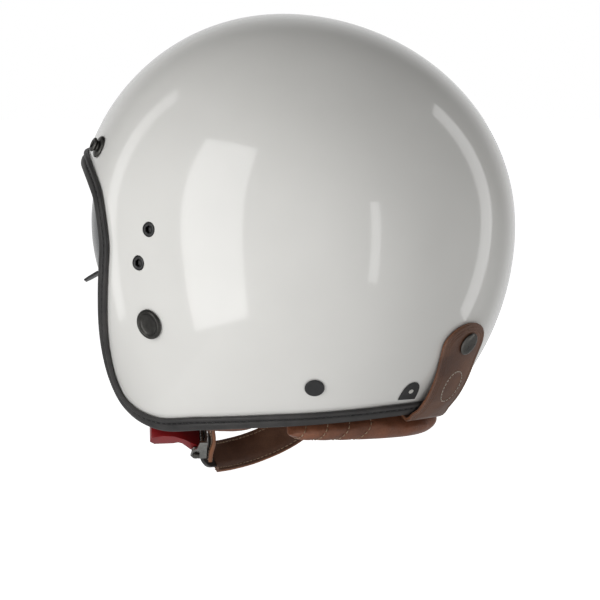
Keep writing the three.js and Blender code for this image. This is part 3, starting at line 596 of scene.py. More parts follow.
def leather(name, dark, light, grain=900, depth=0.12, rough=(0.42, 0.62)):
    n = Nodes(name)
    blotches = n.noise(38, 5, 0.6)
    colour = n.ramp(blotches, 0.33, 0.68, dark, light)
    pores = n.ramp(n.cells(grain), 0.05, 0.5, 0.62, 1.0)
    colour = n.mix("MULTIPLY", 0.55, colour, pores)
    scuffs = n.ramp(n.noise(130, 6, 0.7), 0.62, 0.78, 0.0, 0.28)
    worn = tuple(min(1.0, v * 1.7 + 0.02) for v in light)
    colour = n.mix("MIX", scuffs, colour, worn)
    shine = n.ramp(n.noise(75, 4), 0.3, 0.75, rough[0], rough[1])
    creases = n.bump(n.noise(210, 5, 0.6), depth * 1.4, 0.5)
    normal = n.bump(n.cells(grain), depth, 0.8, creases)
    n.set(IOR=1.48)
    return n.finish(colour, shine, normal)


def rubber(name, dark, light):
    n = Nodes(name)
    colour = n.ramp(n.noise(55, 5), 0.35, 0.7, dark, light)
    grain = n.cells(1500)
    colour = n.mix("MULTIPLY", 0.4, colour, n.ramp(grain, 0.05, 0.5, 0.6, 1.0))
    rough = n.ramp(n.noise(140, 4), 0.3, 0.75, 0.42, 0.6)
    normal = n.bump(grain, 0.07, 0.7, n.bump(n.noise(300, 4), 0.06, 0.5))
    n.set(IOR=1.5)
    return n.finish(colour, rough, normal)


KNIT_SCALE = 950 / 3


def knit(name, dark, light):
    """A fine fabric: two crossed sets of threads with a little fuzz."""
    n = Nodes(name)
    threads = []
    for direction in ("X", "DIAGONAL"):
        wave = n.node("ShaderNodeTexWave", bands_direction=direction, wave_profile="SIN")
        wave.inputs["Scale"].default_value = KNIT_SCALE
        wave.inputs["Distortion"].default_value = 1.5
        wave.inputs["Detail"].default_value = 2
        n.link(n.place, wave.inputs["Vector"])
        threads.append(wave.outputs["Fac"])
    higher = n.node("ShaderNodeMath", operation="MAXIMUM")
    n.link(threads[0], higher.inputs[0])
    n.link(threads[1], higher.inputs[1])
    weave = higher.outputs[0]
    colour = n.ramp(n.noise(45, 5), 0.35, 0.7, dark, light)
    colour = n.mix("MULTIPLY", 0.6, colour, n.ramp(weave, 0.2, 0.9, 0.55, 1.0))
    fuzz = n.bump(n.noise(1400, 3, 0.7), 0.15, 0.5)
    n.set(Roughness=0.95, Sheen_Weight=0.35, Sheen_Roughness=0.5)
    return n.finish(colour, None, n.bump(weave, 0.22, 0.8, fuzz))


def foam():
    n = Nodes("charcoal_bead_foam")
    beads = n.cells(330)
    colour = n.ramp(n.noise(60, 4), 0.3, 0.7, srgb(46, 47, 50), srgb(66, 67, 70))
    colour = n.mix("MULTIPLY", 0.7, colour, n.ramp(beads, 0.3, 0.75, 1.0, 0.5))
    rough = n.ramp(n.noise(200, 3), 0.3, 0.7, 0.7, 0.9)
    return n.finish(colour, rough, n.bump(beads, -0.5, 0.8))


def metal(name, dark, light, rough=(0.24, 0.42), stretch=(1, 1, 9)):
    n = Nodes(name)
    brushed = n.noise(520, 4, 0.6, stretch)
    colour = n.ramp(n.noise(150, 5), 0.3, 0.72, dark, light)
    colour = n.mix("MULTIPLY", 0.35, colour, n.ramp(brushed, 0.3, 0.7, 0.65, 1.0))
    shine = n.ramp(n.noise(260, 5, 0.65), 0.3, 0.75, rough[0], rough[1])
    normal = n.bump(brushed, 0.02, 0.6, n.bump(n.noise(900, 3), 0.015, 0.5))
    n.set(Metallic=1.0)
    return n.finish(colour, shine, normal)


def plastic(name, dark, light, rough=(0.28, 0.46), coat=0.0):
    n = Nodes(name)
    colour = n.ramp(n.noise(80, 5), 0.3, 0.72, dark, light)
    rub = n.ramp(n.noise(420, 6, 0.7), 0.64, 0.8, 0.0, 0.18)
    colour = n.mix("MIX", rub, colour, tuple(min(1.0, v * 1.6 + 0.02) for v in light))
    shine = n.ramp(n.noise(240, 5), 0.3, 0.75, rough[0], rough[1])
    n.set(IOR=1.5, Coat_Weight=coat, Coat_Roughness=0.08)
    return n.finish(colour, shine, n.bump(n.noise(1100, 3), 0.03, 0.55))


def thread(name, dark, light):
    n = Nodes(name)
    twist = n.node("ShaderNodeTexWave", bands_direction="DIAGONAL", wave_profile="SIN")
    twist.inputs["Scale"].default_value = 900
    twist.inputs["Distortion"].default_value = 2
    n.link(n.place, twist.inputs["Vector"])
    colour = n.ramp(n.noise(300, 4), 0.3, 0.7, dark, light)
    colour = n.mix("MULTIPLY", 0.6, colour, n.ramp(twist.outputs["Fac"], 0.1, 0.8, 0.6, 1.0))
    n.set(Roughness=0.8, Sheen_Weight=0.3)
    return n.finish(colour, None, n.bump(twist.outputs["Fac"], 0.08, 0.8))


def smoked_lens():
    n = Nodes("smoked_polycarbonate")
    tint = n.ramp(n.noise(14, 3), 0.3, 0.7, srgb(78, 80, 82), srgb(84, 86, 88))
    smears = n.ramp(n.noise(70, 5), 0.35, 0.8, 0.05, 0.1)
    n.set(IOR=1.45, Alpha=0.92)
    return n.finish(tint, smears, n.bump(n.noise(30, 2), 0.004, 0.3))


PAINT = gloss_paint()
TRIM = rubber("black_grained_trim", srgb(42, 41, 41), srgb(62, 60, 59))
TRIM_THREAD = thread("black_thread", srgb(22, 22, 23), srgb(46, 45, 45))
FOAM = foam()
LINING = knit("brown_brushed_lining", srgb(58, 45, 38), srgb(86, 68, 57))
PAD_LEATHER = leather("tan_pad_leather", srgb(108, 66, 45), srgb(138, 86, 60), 700, 0.16)
STRAP_LEATHER = leather("brown_strap_leather", srgb(86, 57, 43), srgb(116, 82, 63), 1000, 0.1, (0.36, 0.58))
STRAP_EDGE = leather("burnished_cut_edge", srgb(104, 66, 46), srgb(136, 90, 64), 1600, 0.06, (0.3, 0.5))
TAN_EDGE = leather("orange_brown_cut_edge", srgb(122, 74, 44), srgb(156, 98, 60), 1600, 0.06, (0.4, 0.6))
TAN_THREAD = thread("tan_thread", srgb(150, 122, 96), srgb(190, 160, 130))
PALE_THREAD = thread("pale_thread", srgb(168, 158, 144), srgb(206, 196, 182))
GUNMETAL = metal("gunmetal", srgb(84, 83, 80), srgb(112, 110, 106))
DARK_CAP = metal("dark_gunmetal", srgb(66, 65, 63), srgb(96, 95, 92), (0.3, 0.48))
DARK_SCREW = metal("black_oxide_steel", srgb(52, 52, 53), srgb(88, 88, 88), (0.3, 0.5))
STEEL = metal("brushed_buckle_steel", srgb(120, 120, 117), srgb(168, 168, 164), (0.2, 0.38), (1, 6, 1))
BLACK_NYLON = plastic("black_nylon", srgb(28, 28, 29), srgb(44, 44, 45), (0.38, 0.55))
RED_PLASTIC = plastic("red_lever_plastic", srgb(128, 22, 26), srgb(160, 32, 36), (0.3, 0.45), 0.2)
LENS = smoked_lens()
WHITE_MARK = plastic("white_label_print", srgb(196, 194, 188), srgb(222, 220, 214), (0.4, 0.55))


# ---- Shell, liner and edge trim ----

POLE = unit([0.0, 1.0, 1.0])


def layer(edge, columns, rings, outer, inner):
    """A shell layer drawn in rings from a pole on the back of the head to its edge. outer and
    inner give the depths for an array of directions."""
    rim = unit(edge_curve(edge, columns))
    angle = np.arccos(np.clip(rim @ POLE, -1, 1))
    t = np.linspace(0, 1, rings + 1)[None, :, None]
    whole = angle[:, None, None]
    part = whole * t
    toward = (np.sin(whole - part) * POLE + np.sin(part) * rim[:, None]) / np.sin(whole)
    outside, inside = at_depth(toward, outer(toward)), at_depth(toward, inner(toward))
    around = np.concatenate([outside, inside[:, ::-1]], axis=1)
    rows, count = around.shape[:2]
    faces = loft_faces(rows, count, True, False)
    flat = around.reshape(-1, 3)
    near = np.arange(rows) * count + rings
    far = (np.arange(rows) + 1) % rows * count + rings
    close = np.stack([near, far, far + 1, near + 1], -1)
    keep = [f for f in faces.tolist() if f[0] % count != rings]
    return flat, keep + close.tolist()


def constant(depth):
    return lambda toward: np.full(toward.shape[:-1], float(depth))


def clean_fans(obj):
    """Removes the empty corners where a layer's rings meet at its pole."""
    welded(obj.data, 2 * WELD, without_slivers, faces_out)
    return obj


def true_normals(obj):
    """Gives the outer surface the exact normals of the shell's shape."""
    mesh = obj.data
    at = vectors(mesh) / MM
    outer = np.abs(shell_field(at) - 1) < 2e-3
    exact = shell_normal(at)
    normals = []
    for face in mesh.polygons:
        n = np.array(face.normal)
        on_surface = all(outer[i] for i in face.vertices) and n @ exact[face.vertices[0]] > 0.9
        normals.extend(exact[i] if on_surface else n for i in face.vertices)
    mesh.normals_split_custom_set([tuple(n) for n in normals])


def outer_shell():
    shape = layer(SHELL_EDGE, 224, 64, constant(0), constant(SHELL_THICKNESS))
    obj = clean_fans(make("shell_paint", *shape, PAINT, sharp=60))
    holes = []
    for side in (1, -1):
        for place in (SCREW_UPPER, SCREW_LOWER):
            profile = [(2.1, -12), (2.1, -3.9), (4.5, -2), (4.5, 4)]
            holes.append(turned(profile, mirrored(place, side), [side, 0, 0], 48))
    cut(obj, *holes)
    true_normals(obj)
    settle(obj, "helmet", "shell_gloss", "outer_shell")


def trim_frames(count):
    centres = on_shell(edge_curve(SHELL_EDGE, count))
    outward = shell_normal(centres)
    past = unit(np.cross(np.roll(centres, -1, 0) - np.roll(centres, 1, 0), outward))
    if (past[0] @ [0, 0, -1]) < 0:
        past = -past
    return centres, outward, past


def edge_trim():
    outline = [(0.35, -6.6), (1.6, -6.75), (2.6, -6.2), (2.75, -5.2), (2.5, -4.2), (1.55, -3.7),
               (1.35, -3.4), (1.6, -3.05), (2.5, -2.75), (2.9, -2.0), (2.95, -0.5), (2.75, 1.0), (2.2, 2.3),
               (1.0, 3.1), (-1.5, 3.3), (-4.8, 3.25), (-6.4, 2.7), (-6.9, 1.4), (-6.85, -5.8),
               (-6.4, -6.5), (-5.75, -6.4), (-5.6, -5.9), (-5.6, 0.5), (0.35, 0.5)]
    outline = rounded_loop(outline, 0.5, 2)
    centres, outward, past = trim_frames(560)
    across = outline[None, :, :1] * outward[:, None]
    sections = centres[:, None] + across + outline[None, :, 1:] * past[:, None]
    obj = make("edge_trim_body", *loft(sections, True), TRIM, sharp=70)
    settle(obj, "helmet", "trim_rubber", "edge_trim")
    centres, outward, past = trim_frames(900)
    seam = centres + outward * 1.75 + past * -3.4
    rows = stitch_row(seam, outward, 4.2, 3.1, 0.75, 0.6, closed=True)
    settle(make("edge_trim_stitching", *rows, TRIM_THREAD), "helmet", "trim_rubber")


def foam_liner():
    fine = fine_copy("impact_liner", "eps_liner", FOAM, 0.8, 2, 30)
    settle(fine, "helmet", "foam", "eps_liner")


def crown_quilting(toward):
    """Depth of the comfort lining: puffed diamonds between sewn lines."""
    u = np.arctan2(toward[..., 0], np.hypot(toward[..., 2], toward[..., 1])) * 5.4
    v = np.arctan2(toward[..., 1], toward[..., 2]) * 5.4
    puff = np.sqrt(np.abs(np.sin(math.pi * (u + v) / 2) * np.sin(math.pi * (u - v) / 2)))
    return 34.6 + 1.9 * puff


def crown_pad():
    shape = layer(CROWN_PAD_EDGE, 150, 60, constant(31.2), crown_quilting)
    obj = clean_fans(make("crown_lining", *shape, LINING, sharp=80))
    settle(obj, "helmet", "lining_fabric", "crown_pad")
    rim = at_depth(edge_curve(CROWN_PAD_EDGE, 260), np.full(260, 33.4))
    settle(make("crown_lining_piping", *tube(rim, 1.9, True), PAD_LEATHER), "helmet", "pad_leather")


# ---- Pads ----

# The pads' covers: size of the cloth's mesh and how far it may swell, in metres, then the
# pressure inside and how many frames it is blown up for.
COVER_MESH, COVER_SWELL = 0.0036, 0.0022
COVER_PRESSURE = 4
FILLING_FRAMES = 20


def swollen(obj, shrink):
    """Fills a pad's cover: it is remeshed, drawn in a little, then blown up by cloth
    simulation, with a limit on how far any point may go."""
    remesh = obj.modifiers.new("remesh", "REMESH")
    remesh.mode, remesh.voxel_size = "VOXEL", COVER_MESH
    evaluated(obj)
    start = vectors(obj.data) - vectors(obj.data, "vertex_normals", "vector") * shrink
    set_points(obj.data, start)
    cloth = obj.modifiers.new("cloth", "CLOTH")
    cloth.settings.quality = 5
    cloth.settings.use_pressure = True
    cloth.settings.uniform_pressure_force = COVER_PRESSURE
    cloth.settings.effector_weights.gravity = 0
    cloth.settings.tension_stiffness = cloth.settings.compression_stiffness = 25
    cloth.point_cache.frame_start, cloth.point_cache.frame_end = 1, FILLING_FRAMES
    for number in range(1, FILLING_FRAMES + 1):
        SCENE.frame_set(number)
    move = vectors(obj.evaluated_get(bpy.context.evaluated_depsgraph_get()).data) - start
    far = np.linalg.norm(move, axis=1, keepdims=True)
    obj.modifiers.clear()
    SCENE.frame_set(1)
    set_points(obj.data, start + move * np.minimum(1, COVER_SWELL / np.maximum(far, 1e-9)))
    smooth = obj.modifiers.new("smooth", "SMOOTH")
    smooth.factor, smooth.iterations = 0.5, 3
    split = obj.modifiers.new("split", "SUBSURF")
    split.levels = split.render_levels = 1
    evaluated(obj)
    smooth_faces(obj.data)
    return obj


def pressed_seams(obj, paths, depth, width):
    """Draws the cover in along sewn lines, given as dense paths in millimetres."""
    at, normals = vectors(obj.data), vectors(obj.data, "vertex_normals", "vector")
    lines = np.vstack(paths) * MM
    nearest = np.full(len(at), 1.0)
    for chunk in np.array_split(lines, max(1, len(lines) // 64)):
        gap = np.linalg.norm(at[:, None] - chunk[None], axis=2).min(1)
        nearest = np.minimum(nearest, gap)
    dip = depth * MM * np.exp(-(nearest / (width * MM)) ** 2)
    set_points(obj.data, at - normals * dip[:, None])


def on_cover(obj, path, outward, lift=0.1):
    """Drops a path onto a cover along given outward directions."""
    tree = BVHTree.FromObject(obj, bpy.context.evaluated_depsgraph_get())
    points, normals = [], []
    for p, n in zip(path, outward):
        hit, normal, _, _ = tree.ray_cast(Vector((p + n * 14) * MM), Vector(-n), 0.05)
        if hit is None:
            continue
        points.append(np.array(hit) / MM + n * lift)
        normals.append(n)
    return np.array(points), np.array(normals)


# Sewn lines down each side of the neck roll: how many, the first one's place and the step to the
# next in degrees from straight back, and how far each leans, in radians.
ROLL_SEAMS, ROLL_SEAM_FIRST, ROLL_SEAM_STEP, ROLL_SEAM_SLANT = 4, 25.5, 8.3, 0.07


def neck_roll():
    obj = swollen(node_copy("neck_roll_cover", "neck_roll", PAD_LEATHER), 0.0016)
    lines, outs = [], []
    for side, number in itertools.product((1, -1), range(ROLL_SEAMS)):
        middle = math.radians(ROLL_SEAM_FIRST + ROLL_SEAM_STEP * number)
        angle = side * np.linspace(middle - ROLL_SEAM_SLANT, middle + ROLL_SEAM_SLANT, 40)
        edge = beside_edge(angle, np.linspace(-2.4, -17, 40), np.linspace(-7.4, -17, 40))
        outward = unit(unit(edge * [1, 1, 0]) * np.linspace(1.5, 0.3, 40)[:, None] + [0, 0, -0.8])
        points, normals = on_cover(obj, edge, outward, 0.0)
        if len(points) > 12:
            lines.append(points)
            outs.append(normals)
    pressed_seams(obj, lines, 0.9, 1.6)
    settle(obj, "helmet", "pad_leather", "neck_roll")
    rows = [stitch_row(p - n * 0.5, n, 2.6, 2.1, 0.6, 0.6) for p, n in zip(lines, outs)]
    settle(make("neck_roll_stitching", *joined(rows), TAN_THREAD), "helmet", "pad_leather")


def cheek_pads():
    for name, side in (("left", 1), ("right", -1)):
        obj = swollen(node_copy(f"cheek_pad_cover_{name}", f"cheek_pad_{name}", PAD_LEATHER), 0.0018)
        angle = np.linspace(0, 2 * math.pi, 160, endpoint=False)
        bend = lambda v: np.sign(v) * np.abs(v) ** 0.55
        rows, seams = [], []
        for reach, depth in ((0.86, 28), (0.5, 36)):
            y = -2.5 + 42.5 * reach * bend(np.cos(angle))
            z = -75.25 + 46.25 * reach * bend(np.sin(angle))
            skin = mirrored(beside_shell(y, z), side)
            outward = -unit(shell_normal(skin) * [1, 1, 0])
            points, normals = on_cover(obj, level_inward(skin, np.full(160, float(depth))), outward, 0.0)
            seams.append(points)
            rows.append(stitch_row(points - normals * 0.5, normals, 3.4, 2.5, 0.6, 0.6))
        pressed_seams(obj, seams, 0.9, 1.8)
        settle(obj, "helmet", "pad_leather", f"cheek_pad_{name}")
        settle(make(f"cheek_pad_stitching_{name}", *joined(rows), TAN_THREAD), "helmet", "pad_leather")


# ---- Snaps, screws and rivets ----

def hardware(name, profile, place, direction, material, slot, body, *nodes, corner=0.25):
    rows = [tuple(r) for r in profile]
    if all(len(r) == 2 for r in rows):
        rows = [tuple(r) for r in rounded_profile(rows, corner, 3)]
    obj = make(name, *turned(rows, place, direction, 72), material, sharp=50)
    return settle(obj, body, slot, *nodes)


def brow_snaps():
    profile = [(0.05, 0.35), (6.6, 0.35), (6.75, 0.8), (6.4, 1.45), (5.4, 1.85), (3.4, 2.1), (3.15, 2.4),
               (3.15, 3.0), (3.6, 3.5), (4.3, 4.0), (4.4, 4.5), (4.0, 5.0), (3.2, 5.2), (2.3, 5.15),
               (1.9, 4.8), (1.85, 3.0), (1.5, 2.6), (0.05, 2.55)]
    for name, place in (("left", SNAP_SIDE), ("center", SNAP_CENTRE), ("right", mirrored(SNAP_SIDE, -1))):
        at = on_shell(place)
        hardware(f"brow_snap_stud_{name}", profile, at, shell_normal(at), GUNMETAL, "gunmetal", "helmet",
                 f"brow_snap_{name}")
    at = on_shell(SNAP_REAR)
    profile = [(0.05, 0.35), (3.8, 0.35), (3.9, 0.8), (3.4, 1.2), (2.6, 1.5), (2.6, 2.1), (3.1, 2.6),
               (3.3, 3.0), (2.9, 3.5), (2.0, 3.65), (0.05, 3.6)]
    hardware("strap_stud", profile, at, shell_normal(at), GUNMETAL, "gunmetal", "helmet",
             "goggle_snap_stud")


def side_screws():
    head = [(1.6, -11.3), (1.6, -3.6), (3.9, -1.9), (4.2, -1.5), (4.25, 0.25), (4.05, 0.5), (3.6, 0.68),
            (2.55, 0.72), (2.3, 0.6), (2.2, 0.3, 6), (2.2, -2.4, 6), (1.6, -2.6, 6), (0.05, -2.7)]
    for name, side in (("left", 1), ("right", -1)):
        for level, place in (("upper", SCREW_UPPER), ("lower", SCREW_LOWER)):
            at = mirrored(place, side)
            hardware(f"screw_{level}_{name}", head, at, [side, 0, 0], DARK_SCREW, "dark_screw", "helmet",
                     f"side_screw_{level}_{name}")


def strap_rivets():
    inner = [(0.05, -9), (4.8, -9), (5, -8.6), (4.8, -8), (2.7, -7.8), (2.6, -7.2), (2.6, 0.45)]
    dished = inner + [(8.9, 0.4), (9.0, 0.9), (8.75, 1.7), (8.2, 2.25), (7.4, 2.4), (6.8, 2.2), (6.2, 1.5),
                      (5.4, 1.15), (3.2, 0.95), (0.05, 0.9)]
    flat = inner + [(5.7, 0.4), (5.8, 0.8), (5.5, 1.15), (4.9, 1.35), (2.4, 1.45), (0.05, 1.45)]
    kinds = [("front", RIVET_FRONT, dished, DARK_CAP, "gunmetal"),
             ("rear", RIVET_REAR, flat, BLACK_NYLON, "black_nylon")]
    for name, side in (("left", 1), ("right", -1)):
        for label, place, profile, finish, slot in kinds:
            at = on_shell(mirrored(place, side))
            hardware(f"rivet_{label}_{name}", profile, at, shell_normal(at), finish, slot, "helmet",
                     f"strap_rivet_{label}_{name}", corner=0.3)


def size_tag():
    """A round-topped tag with a small dot printed on it."""
    half = [(0, 7.9), (2.4, 7.2), (4.5, 5), (5.8, 0.5), (6, -5.5)]
    top = catmull_rom(half, False, 8)
    outline = np.vstack([top, (top * [-1, 1])[::-1][:-1]])
    middle = on_shell(LABEL)
    outward = shell_normal(middle)
    across = unit(np.cross([0, 0, 1], outward))
    up = np.cross(outward, across)

    def ring(height, reach, shape=outline):
        toward = middle + shape[:, :1] * reach * across + shape[:, 1:] * reach * up
        return at_depth(toward, np.full(len(shape), -height))
    shape = loft([ring(0.2, 0.99), ring(0.35, 1), ring(0.65, 1), ring(0.8, 0.96)])
    settle(make("round_tag", *shape, BLACK_NYLON), "helmet", "black_nylon", "size_label")
    angle = np.linspace(0, 2 * math.pi, 40, endpoint=False)
    dot = np.stack([1.5 * np.cos(angle), 1.2 + 1.5 * np.sin(angle)], -1)
    shape = loft([ring(0.7, 1, dot), ring(0.9, 1, dot)])
    settle(make("round_tag_mark", *shape, WHITE_MARK), "helmet", "black_nylon")


# ---- Sun visor ----

def on_visor(across, up, depth):
    a, u = np.radians(across), np.radians(up)
    radius = (VISOR_RADIUS - depth) * np.cos(a)
    x = (VISOR_HALF_WIDTH - depth) * np.sin(a)
    y, z = VISOR_PIVOT[1] - radius * np.cos(u), VISOR_PIVOT[2] + radius * np.sin(u)
    return np.stack(np.broadcast_arrays(x, y, z), -1)


def visor_lens():
    sections = []
    for across in np.linspace(-LENS_HALF_ANGLE, LENS_HALF_ANGLE, 97):
        bottom = LENS_NOSE_ANGLE + (LENS_LOBE_ANGLE - LENS_NOSE_ANGLE) * smoothstep(abs(across), 2, 25)
        top = LENS_TOP_ANGLE - 5 * (across / LENS_HALF_ANGLE) ** 2
        up = np.linspace(bottom, top, 30)
        ease_in = np.where((up == bottom) | (up == top), LENS_EDGE_EASE, 0.0)
        outer = on_visor(across, up, ease_in)
        inner = on_visor(across, up, VISOR_THICKNESS - ease_in)
        sections.append(np.vstack([outer, inner[::-1]]))
    obj = make("sun_lens", *loft(sections), LENS, sharp=40)
    settle(obj, "sun_visor", "smoked_lens", "visor_lens")


def visor_parts():
    tab = fine_copy("visor_finger_tab", "visor_tab", BLACK_NYLON, 0.45, 3)
    settle(tab, "sun_visor", "black_nylon", "visor_tab")
    for name in ("left", "right"):
        arm = fine_copy(f"visor_side_arm_{name}", f"visor_arm_{name}", BLACK_NYLON, 0.5, 2)
        settle(arm, "sun_visor", "black_nylon", f"visor_arm_{name}")
        base = fine_copy(f"visor_base_plate_{name}", f"visor_base_{name}", BLACK_NYLON, 0.4, 2)
        settle(base, "helmet", "black_nylon", f"visor_base_{name}")


# ---- Leather goggle strap ----

FLAP_TOP, FLAP_LAST = -52.2, -101.0
FLAP_HALF = 17.5
FLAP_ROUND = 0.82 * FLAP_HALF
FLAP_THICK = 2.6
BOW_RADIUS = 100.0
# The strap's centre line round the trim's lower corner, outward and up from the shell's edge.
FOLD = [(2.7, -4), (0.8, -5.7), (-2, -6.5), (-4.3, -5.2), (-6.6, -3), (-9, -0.7)]
BEFORE_FOLD = [(6.2, 1.5), (4.6, -1.6)]
FOLD_ROWS = 72
BELOW_DETAILS = FLAP_LAST - 20
RING_HEIGHT, RING_RADIUS = -88.0, 8.0


def flap_half_width(z):
    from_top = np.minimum((FLAP_TOP - z) / FLAP_ROUND, 1)
    return np.maximum(0.4, FLAP_HALF * np.sqrt(np.maximum(1 - (1 - from_top) ** 2, 0)))


def flap_centre(z):
    return 4 * smoothstep(z, -86, -60)


def flap_lift(z):
    return 0.45 + 3.1 * smoothstep(-z, 72, 97)


def flap_edge_distance(x, z):
    """How far a point of the flap is from its cut edge, with x from its middle line."""
    rise = np.maximum(z - (FLAP_TOP - FLAP_ROUND), 0)
    reach = np.maximum(np.hypot(x / FLAP_HALF, rise / FLAP_ROUND), 1e-6)
    slope = np.hypot(x / FLAP_HALF ** 2, rise / FLAP_ROUND ** 2) / reach
    return np.maximum((1 - reach) / np.maximum(slope, 1e-9), 0)


def flap_rows(across):
    """The strap's outer and inner faces before any detail, row by row, with each row's
    distance across and its height on the flat."""
    down = np.concatenate([np.linspace(0, 1, 30)[:-1] ** 2 * 9, np.linspace(9, 48.78, 150)])
    outer, inner, flat = [], [], []
    for z in FLAP_TOP - 0.02 - down:
        x = across * float(flap_half_width(z))
        skin = behind_shell(np.arctan2(flap_centre(z) + x, 120), np.full(len(x), z))
        lift = float(flap_lift(z))
        outer.append(inward(skin, np.full(len(x), -lift - FLAP_THICK)))
        inner.append(inward(skin, np.full(len(x), -lift)))
        flat.append((x, z))
    line = np.array(BEFORE_FOLD + FOLD)
    first, last = len(BEFORE_FOLD), len(line) - 1
    angle = np.arctan2(across * FLAP_HALF, BOW_RADIUS)
    for where in np.linspace(first, last, FOLD_ROWS, endpoint=False):
        centre, along = line_place(line, where)
        side = np.array([-along[1], along[0]]) * FLAP_THICK / 2
        for face, (out, up) in ((outer, centre + side), (inner, centre - side)):
            face.append(beside_edge(angle, np.full(len(across), out), up))
        flat.append((across * FLAP_HALF, BELOW_DETAILS))
    return np.array(outer), np.array(inner), flat


def line_place(line, where):
    """A point of a Catmull-Rom line and its direction, at a whole or part number of spans."""
    i = int(where)
    t = where - i
    a, b, c, d = (line[min(i + k, len(line) - 1)] for k in (-1, 0, 1, 2))
    slope, square, cube = c - a, 2 * a - 5 * b + 4 * c - d, 3 * b - a - 3 * c + d
    at = 0.5 * (2 * b + slope * t + square * t ** 2 + cube * t ** 3)
    return at, unit(slope + 2 * square * t + 3 * cube * t ** 2)


def goggle_strap():
    across = np.sin(np.linspace(-1, 1, 121) * math.pi / 2)
    outer, inner, flat = flap_rows(across)
    sections = []
    for out, under, (x, z) in zip(outer, inner, flat):
        d = flap_edge_distance(x, np.full(len(x), z))
        rolled = 0.9 - np.sqrt(np.maximum(0.81 - np.maximum(0.9 - d, 0) ** 2, 0))
        border = 0.42 * (np.exp(-((d - 2.1) / 0.36) ** 2) + np.exp(-((d - 3.7) / 0.36) ** 2))
        mark = np.hypot(x, z - RING_HEIGHT)
        pressed = 0.28 * np.exp(-((mark - RING_RADIUS) / 0.5) ** 2) + 0.2 * (mark < RING_RADIUS)
        thick = unit(out - under)
        out = out - thick * (rolled + border + pressed)[:, None]
        under = under + thick * (0.6 * rolled)[:, None]
        sections.append(np.vstack([out, under[::-1]]))
    around, last = 2 * len(across), len(across) - 1
    points, faces = loft(sections)
    walls = ({0, around - 1}, {last, last + 1})
    kinds = [1 if len(f) == 4 and {i % around for i in f} in walls else 0 for f in faces]
    obj = make("goggle_strap_leather", points, faces, [STRAP_LEATHER, STRAP_EDGE], sharp=60, kinds=kinds)
    at = on_shell(SNAP_REAR)
    cut(obj, turned([(6.0, -3), (6.0, 9)], at, shell_normal(at), 64))
    smooth_faces(obj.data)
    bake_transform(obj)
    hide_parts("goggle_strap", "goggle_strap_root")


def flap_details():
    """The pressed ring's pale stitches and the snap's cap."""
    angle = np.linspace(0, 2 * math.pi, 200, endpoint=False)
    x, z = RING_RADIUS * np.sin(angle), RING_HEIGHT + RING_RADIUS * np.cos(angle)
    skin = behind_shell(np.arctan2(flap_centre(z) + x, 120), z)
    lift = flap_lift(z) + FLAP_THICK - 0.25
    ring = stitch_row(inward(skin, -lift), shell_normal(skin), 2.4, 1.8, 0.7, 0.5, closed=True)
    settle(make("goggle_strap_ring_stitches", *ring, PALE_THREAD), "goggle_flap", "strap_leather")
    at = on_shell(SNAP_REAR)
    t = FLAP_THICK
    cap = [(4.1, 1.3), (5.6, 1.3), (5.6, t + 0.75), (6.8, t + 0.75), (7.05, t + 0.95), (7.05, t + 1.3),
           (6.75, t + 1.7), (6.1, t + 2.05), (4.3, t + 2.3), (0.05, t + 2.4), (0.05, t + 0.9),
           (4.1, t + 0.9), (4.1, 1.3)]
    hardware("goggle_snap_button", cap, at, shell_normal(at), GUNMETAL, "gunmetal", "goggle_flap",
             "goggle_snap_cap", corner=0.3)


# ---- Chin strap and its legs ----

def depth_point(y, z, depth):
    p = beside_shell(y, z)
    return (inward(p, depth), -shell_normal(p))


def point(x, y, z, *skin):
    return (np.array([x, y, z], float), unit(skin))


def flipped(route, side):
    return [(mirrored(at, side), mirrored(skin, side)) for at, skin in route]


MOUTH = np.array([42.5, -27.5, -131.0])
TO_MOUTH = unit([-0.62, -0.5, -0.605])
LEVER_SIDE = unit([0.628, -0.778, 0.0])
ACROSS = np.cross(LEVER_SIDE, TO_MOUTH)
PIN_ALONG, PIN_OUT = -4.0, 6.4

FRONT_LEG = [depth_point(-16.6, -44, 6.4), depth_point(-16, -60, 6.4), depth_point(-14, -85, 6.6),
             depth_point(-12, -103, 8)]
REAR_LEG = [depth_point(79, -85, 6.3), depth_point(66, -90.5, 6.4), depth_point(48, -96.5, 7.9),
            depth_point(28, -102, 8.1), depth_point(4, -106, 8.4)]


def in_buckle(x, y, z):
    return MOUTH + x * TO_MOUTH + y * ACROSS + z * LEVER_SIDE


JAW_ROUTE = [
    depth_point(-12, -104.5, 8.1),
    point(71, -13, -110.5, -0.5, 0.1, 0.86),
    point(62, -15.5, -115.5, -0.55, 0.4, 0.7),
]
LEFT_ROUTE = JAW_ROUTE + [
    (in_buckle(along, 0, out), -LEVER_SIDE) for along, out in ((-15, -3.6), (-6, -2.6), (3, -2.4))]
RIGHT_ROUTE = flipped(JAW_ROUTE, -1) + [
    point(-53, -20.5, -122.5, 0.5, 0.65, 0.55), point(-41, -30, -132, 0.35, 0.8, 0.5),
    point(-22, -39, -139, 0.1, 0.85, 0.5), point(0, -42.2, -141.5, 0, 0.85, 0.5),
    point(18.4, -41, -141.3, 0, 0.85, 0.5),
]


def strap_frames(route, steps):
    """Places, tangents, and the across and skin directions along a flat strap."""
    both = catmull_rom([np.concatenate([at, skin]) for at, skin in route], False, 24)
    both = spaced(both, steps, False)
    places, skins = both[:, :3], both[:, 3:]
    tangents = unit(np.gradient(places, axis=0))
    across = unit(np.cross(skins, tangents))
    return places, tangents, across, unit(np.cross(tangents, across))


